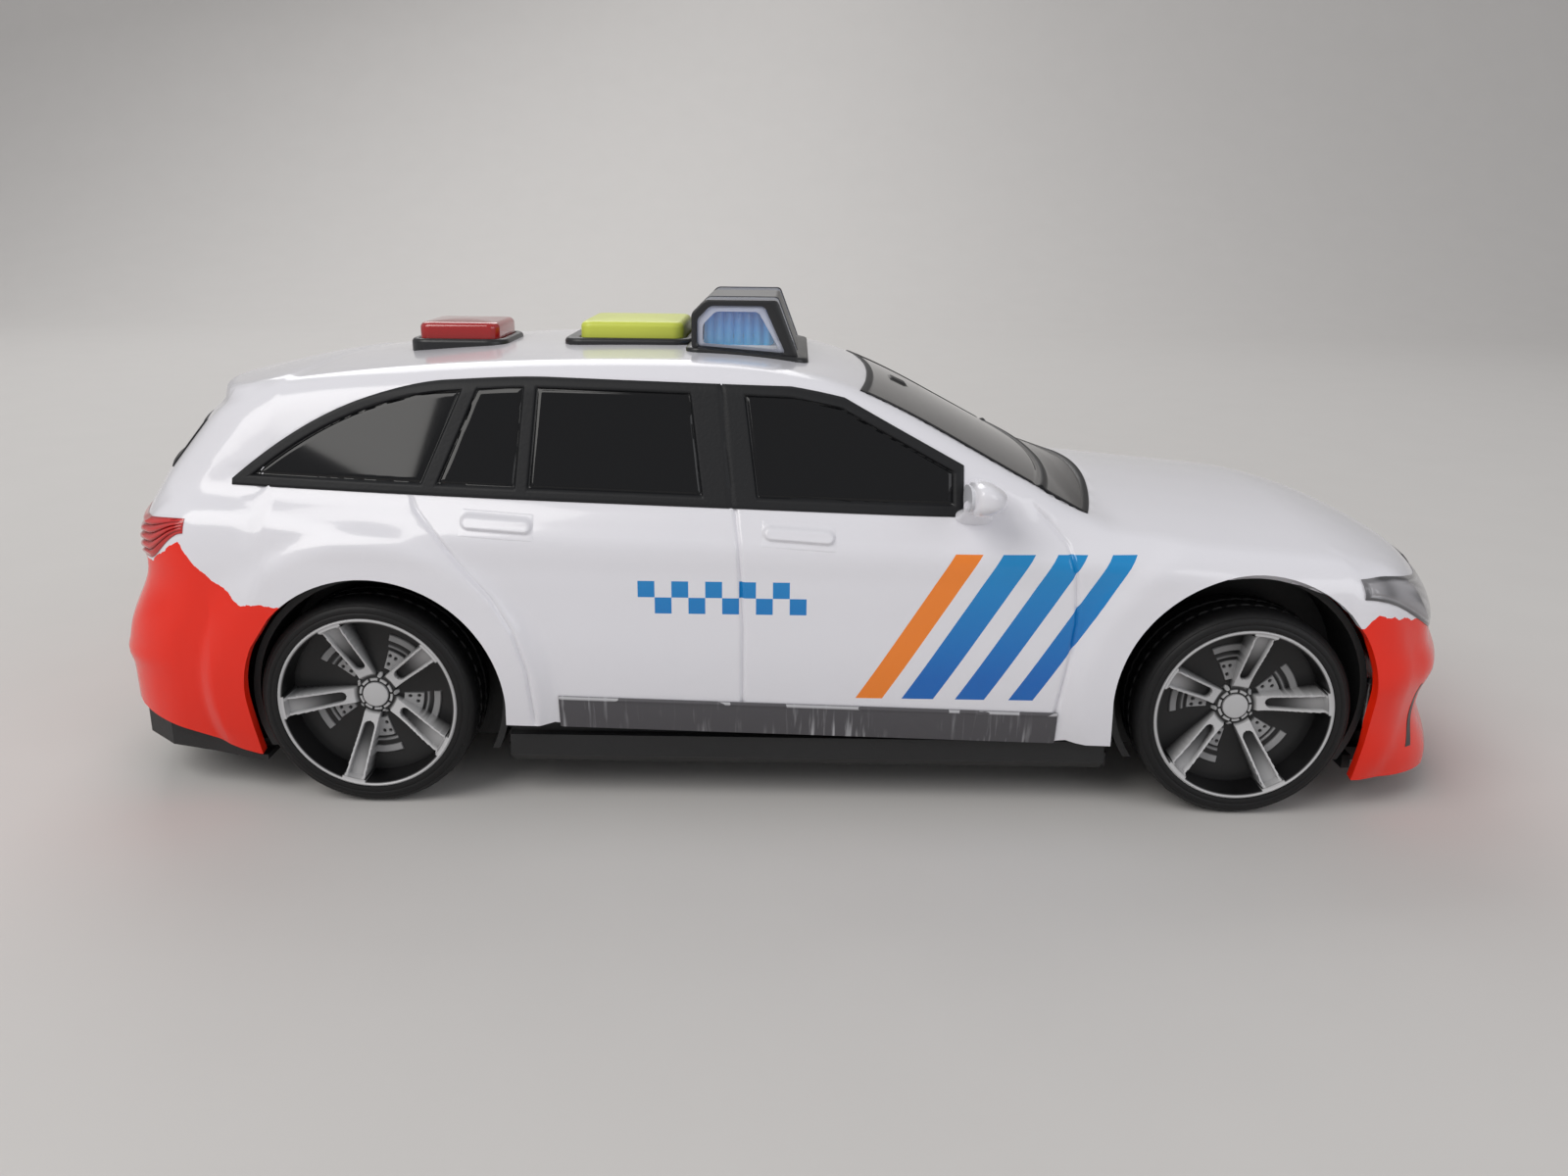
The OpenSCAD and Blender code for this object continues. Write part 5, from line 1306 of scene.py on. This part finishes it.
WHEELS = (
    ("front_right", "front_wheels", FRONT_AXLE_X, -1.0, 9.0),
    ("front_left", "front_wheels", FRONT_AXLE_X, 1.0, 171.0),
    ("rear_right", "rear_wheels", REAR_AXLE_X, -1.0, 40.0),
    ("rear_left", "rear_wheels", REAR_AXLE_X, 1.0, 140.0),
)
for place_name, body_name, axle_x, hand, _ in WHEELS:
    tyre_piece("tyre_wall_" + place_name, "tyre_" + place_name, body_name, axle_x, hand)

# Rims
# Silver printed wheels: five forked spokes that lean back to the hub, a thin bright ring, a hub cap
# with wheel bolts, and brake discs behind them on a black ground.
RIM_SILVER = toned("rim_silver", (0.006, 0.006, 0.0065), (0.60, 0.60, 0.61), 0.36, coat=0.1, specular=0.3)
RIM_RADIUS = 18.64
HUB_RECESS = 6.0
SPOKES = 5
SPOKE_EDGE = 0.62
DISC_HOLES = ((7.0, 26.0), (8.9, 28.0), (8.8, 19.5))
BARREL = np.array((
    (RIM_RADIUS, -0.8), (RIM_RADIUS, -15.9), (16.4, -15.9), (16.2, -11.5), (4.2, -11.5), (4.2, -15.6),
    (1.52, -15.6), (1.52, -8.0), (0.0, -8.0),
))


def rim_piece(name, node, body, axle_x, hand, rest):
    """Face as a height over radius and turn: spokes with a rounded slot that holds painted shade, ring, hub,
    discs behind.
    """
    radii = np.concatenate([np.linspace(0, 4.8, 34), np.linspace(4.95, RIM_RADIUS, 78)])
    turns = np.linspace(0, 2 * np.pi, 600, endpoint=False)
    radius, turn = np.meshgrid(radii, turns, indexing="ij")
    step_turn = 2 * np.pi / SPOKES
    local = (turn - np.radians(rest) + step_turn / 2) % step_turn - step_turn / 2
    along, aside = radius * np.cos(local), np.abs(radius * np.sin(local))
    width = 1.75 + 0.42 * ease(along, 5, 18)
    spoke = ease(width - aside, -0.06, 0.12) * ease(along, 3.4, 4.6) * ease(18.4 - radius, 0.0, 0.2)
    slot_half = width - SPOKE_EDGE
    slot_end = 6.2 + slot_half
    slot = np.where(along > slot_end, aside, np.hypot(along - slot_end, aside)) - slot_half
    slot_in = ease(-slot, -0.06, 0.12) * ease(17.7 - radius, 0.0, 0.5)
    dish = -HUB_RECESS + (HUB_RECESS - 0.7) * ease(radius, 3.5, 20.5) ** 0.85
    ground = -HUB_RECESS - 1.6 + 0.9 * ease(radius, 9, 18)
    disc = ease(radius, 5.6, 5.8) * (1 - ease(radius, 9.9, 10.1))
    signed = np.degrees(local) * (1.0 if hand < 0 else -1.0)
    plate = disc * ease(signed, 9, 10) * (1 - ease(signed, 31, 33))
    thin_arc = bell(radius, 10.9, 0.25) * ease(signed, -10, -8) * (1 - ease(signed, 33, 34))
    wide_arc = ease(radius, 12.1, 12.25) * (1 - ease(radius, 13.6, 13.75))
    wide_arc = wide_arc * ease(signed, 8, 9) * (1 - ease(signed, 34, 35))
    dots = np.zeros(radius.shape)
    for dot_radius, dot_turn in DISC_HOLES:
        gap = np.hypot(radius - dot_radius, np.radians(signed - dot_turn) * dot_radius)
        dots = np.maximum(dots, 1 - ease(gap, 0.28, 0.42))
    height = ground + 0.45 * plate + 0.3 * thin_arc + 0.4 * wide_arc - 0.4 * dots * plate
    tone = 0.02 + 0.56 * plate * (1 - dots) + 0.5 * thin_arc + 0.5 * wide_arc
    height = height + (dish - height) * spoke
    tone = tone + (0.9 - tone) * spoke
    sink = (0.9 + 0.5 * (1 - ease(along, 6, 13))) * slot_in
    height = height - sink * spoke
    # Painted shade and light in each spoke's slot: darker where it sinks deeper towards the hub, and lighter
    # on one side than the other.
    slot_shade = 0.03 + 0.62 * ease(along, 8.5, 17.5) * (0.75 + 0.25 * ease(radius * np.sin(local), -1.4, 1.2))
    tone = tone + (slot_shade - tone) * slot_in * spoke
    hub = 1 - ease(radius, 2.6, 2.72)
    collar = ease(radius, 2.95, 3.05) * (1 - ease(radius, 3.5, 3.6))
    notch = ease(np.abs(np.sin(SPOKES * (turn - np.radians(rest)))), 0.25, 0.45)
    boss = 1 - ease(radius, 3.9, 4.6)
    height = np.where(radius < 4.6, height + (-HUB_RECESS - 0.5 - height) * boss, height)
    tone = tone * (1 - boss) + 0.03 * boss
    height = height + 0.35 * collar * notch + (0.75 + 0.2 * (1 - (radius / 2.7) ** 2)) * hub
    tone = np.maximum(tone, np.maximum(0.78 * collar * notch, 0.86 * hub))
    bolt_local = (turn - np.radians(rest) + step_turn) % step_turn - step_turn / 2
    bolt = 1 - ease(np.hypot(radius * np.cos(bolt_local) - 4.25, radius * np.sin(bolt_local)), 0.42, 0.56)
    height = height + 0.5 * bolt
    tone = np.maximum(tone, 0.85 * bolt)
    ring = ease(radius, 17.6, 17.75)
    lugs = ease(width + 0.45 - aside, 0.0, 0.12) * ease(radius, 17.1, 17.25)
    height = height + (-0.45 + 0.3 * bell(radius, 18.3, 0.25) - height) * np.maximum(ring, lugs)
    lug_print = ease(width + 0.35 - aside, 0.0, 0.12) * ease(radius, 17.4, 17.55)
    tone = tone * (1 - ease(radius, 17.3, 17.5)) + 0.86 * np.maximum(ease(radius, 17.9, 18.05), lug_print)
    face = wheel_points(radius, turn, height, axle_x, hand)
    barrel_turn, barrel_radius = np.meshgrid(turns, BARREL[:, 0])
    barrel_out = np.repeat(BARREL[:, 1:], len(turns), axis=1)
    barrel = wheel_points(barrel_radius, barrel_turn, barrel_out, axle_x, hand)
    shade = np.concatenate([np.clip(tone, 0, 1), np.full(barrel_turn.shape, 0.3)])
    piece = wrap(name, np.concatenate([face, barrel]), {"tone": shade})
    settle(piece, body, [node], RIM_SILVER, sharp=40)


for place_name, body_name, axle_x, hand, rest in WHEELS:
    rim_piece("rim_face_" + place_name, "rim_" + place_name, body_name, axle_x, hand, rest)

# Chassis and inner pieces
# The black tray, axles, screws, boards, speaker, cells and springs keep their drawn solids and get
# finishes of their own: grained black plastic, plated steel, lacquered board and printed jackets.
TRAY_BLACK = plastic("chassis_black", (0.0125, 0.0127, 0.0135), 0.52, drift=0.16, grain=1000.0, bump=0.16,
                     tint=0.3)
STEEL = plastic("plated_steel", (0.56, 0.56, 0.58), 0.28, drift=0.16, grain=2200.0, bump=0.03, metal=1.0)
BOARD = plastic("board_green", (0.02, 0.13, 0.05), 0.4, grain=1500.0, bump=0.1, tint=0.2)
SPEAKER_GREY = plastic("speaker_grey", (0.09, 0.09, 0.095), 0.45, bump=0.1, tint=0.2)
JACKET = plastic("cell_jacket", (0.06, 0.09, 0.13), 0.3, tint=0.2)
KNOB_RED = plastic("knob_red", (0.55, 0.03, 0.02), 0.35, bump=0.05)
SHARED = {
    "black_matte": TRAY_BLACK, "steel": STEEL, "board_green": BOARD, "speaker_grey": SPEAKER_GREY,
    "cell_jacket": JACKET, "red_plastic": KNOB_RED, "clear_plastic": CLEAR, "body_white": BODY_WHITE,
    "black_gloss": BLACK_WINDOW, "lamp_grey": HEADLAMP_GREY, "lamp_red": TAIL_RED, "trim_grey": TRIM_GREY,
    "lime_plastic": LIME, "blue_lens": BLUE_LENS_PAINTED_SHADE, "tyre_black": TYRE_BLACK, "rim_silver": RIM_SILVER,
}
slots = {row["node"]: row["material_slot"] for row in frame["record"]["subparts"]}
for node_name, node in frame["nodes"].items():
    node.data.materials.clear()
    node.data.materials.append(SHARED[slots[node_name]])

# Button springs
# Each coil spring gets a mesh of its own.
for button, top in (("siren_button", CONSOLE_TOP), ("horn_button", HORN_TOP)):
    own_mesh(frame["nodes"][button + "_spring"])

# Studio
# Pale seamless floor and backdrop, a broad soft key from the upper left, a weaker fill, and a
# camera at the photograph's height and slope.
FLAT_RUN = 2.6
BEND_RUN = 0.9
BEND_RADIUS = 0.573
u, v = sheet((-3, 3, 13), (0, 1, 60))
run = v * 4.2
bend = np.clip((run - FLAT_RUN) / BEND_RUN, 0, 1) * np.pi / 2
wall = np.maximum(run - FLAT_RUN - BEND_RUN, 0) * 3.0
depth = np.where(run < FLAT_RUN, run, FLAT_RUN + BEND_RADIUS * np.sin(bend))
rise = np.where(run < FLAT_RUN, 0.0, BEND_RADIUS * (1 - np.cos(bend)) + wall)
backdrop = lay("studio_floor", np.stack([u, -1.6 + depth, rise], -1) * 1000)
backdrop.data.polygons.foreach_set("use_smooth", np.ones(len(backdrop.data.polygons), dtype=bool))
floor_paper = plastic("floor_paper", (0.60, 0.585, 0.57), 0.75, drift=0.05, grain=300.0, bump=0.03, tint=0.02)
backdrop.data.materials.append(floor_paper)


def stance(right, up, back, place):
    """Matrix of an object with these axes, at a place in metres."""
    rows = np.eye(4)
    rows[:3] = np.stack([right, up, back, place], axis=1)
    return Matrix(rows.tolist())


def lamp(name, place, aim, size, watts, colour):
    """Square area lamp at a place, turned to face a point."""
    light = bpy.data.lights.new(name, "AREA")
    light.size = size
    light.energy = watts
    light.color = colour
    holder = bpy.data.objects.new(name, light)
    back = np.array(place, float) - np.array(aim, float)
    back /= np.linalg.norm(back)
    right = np.cross([0, 0, 1.0], back)
    right /= np.linalg.norm(right)
    holder.matrix_world = stance(right, np.cross(back, right), back, place)
    bpy.context.scene.collection.objects.link(holder)


lamp("key", (-0.75, -0.75, 1.05), (0, 0, 0.04), 0.9, 9.5, (1.0, 0.98, 0.95))
lamp("fill", (0.95, -0.85, 0.6), (0, 0, 0.04), 0.8, 3.0, (0.96, 0.97, 1.0))
lamp("back", (-0.3, 1.1, 1.0), (0, 0.1, 0.04), 1.0, 7.0, (1.0, 1.0, 1.0))
world = bpy.data.worlds.new("studio_world")
world.use_nodes = True
sky = world.node_tree.nodes["Background"].inputs
sky["Color"].default_value = (0.95, 0.95, 0.97, 1)
sky["Strength"].default_value = 0.45
bpy.context.scene.world = world

SENSOR = 36.0
FOCAL_PIXELS = 1297.7
PHOTO_WIDTH = 1600
CAMERA_PLACE = np.array([0.93, -300.39, 122.12]) * MM
camera_data = bpy.data.cameras.new("photo_camera")
camera_data.sensor_width = SENSOR
camera_data.lens = FOCAL_PIXELS / PHOTO_WIDTH * SENSOR
camera_data.clip_start = 0.01
camera = bpy.data.objects.new("photo_camera", camera_data)
pitch, yaw, roll = np.radians((16.589, 0.355, 0.658))
level = np.array([[1, 0, 0], [0, 0, -1], [0, 1, 0]], float)
tip = np.array(Matrix.Rotation(pitch, 3, "X"))
swing = np.array(Matrix.Rotation(yaw, 3, "Z"))
bank = np.array(Matrix.Rotation(roll, 3, "Z"))
turned = bank @ tip @ level @ swing.T
camera.matrix_world = stance(turned[0], -turned[1], -turned[2], CAMERA_PLACE)
bpy.context.scene.collection.objects.link(camera)
bpy.context.scene.camera = camera
bpy.context.scene.view_settings.view_transform = "Standard"
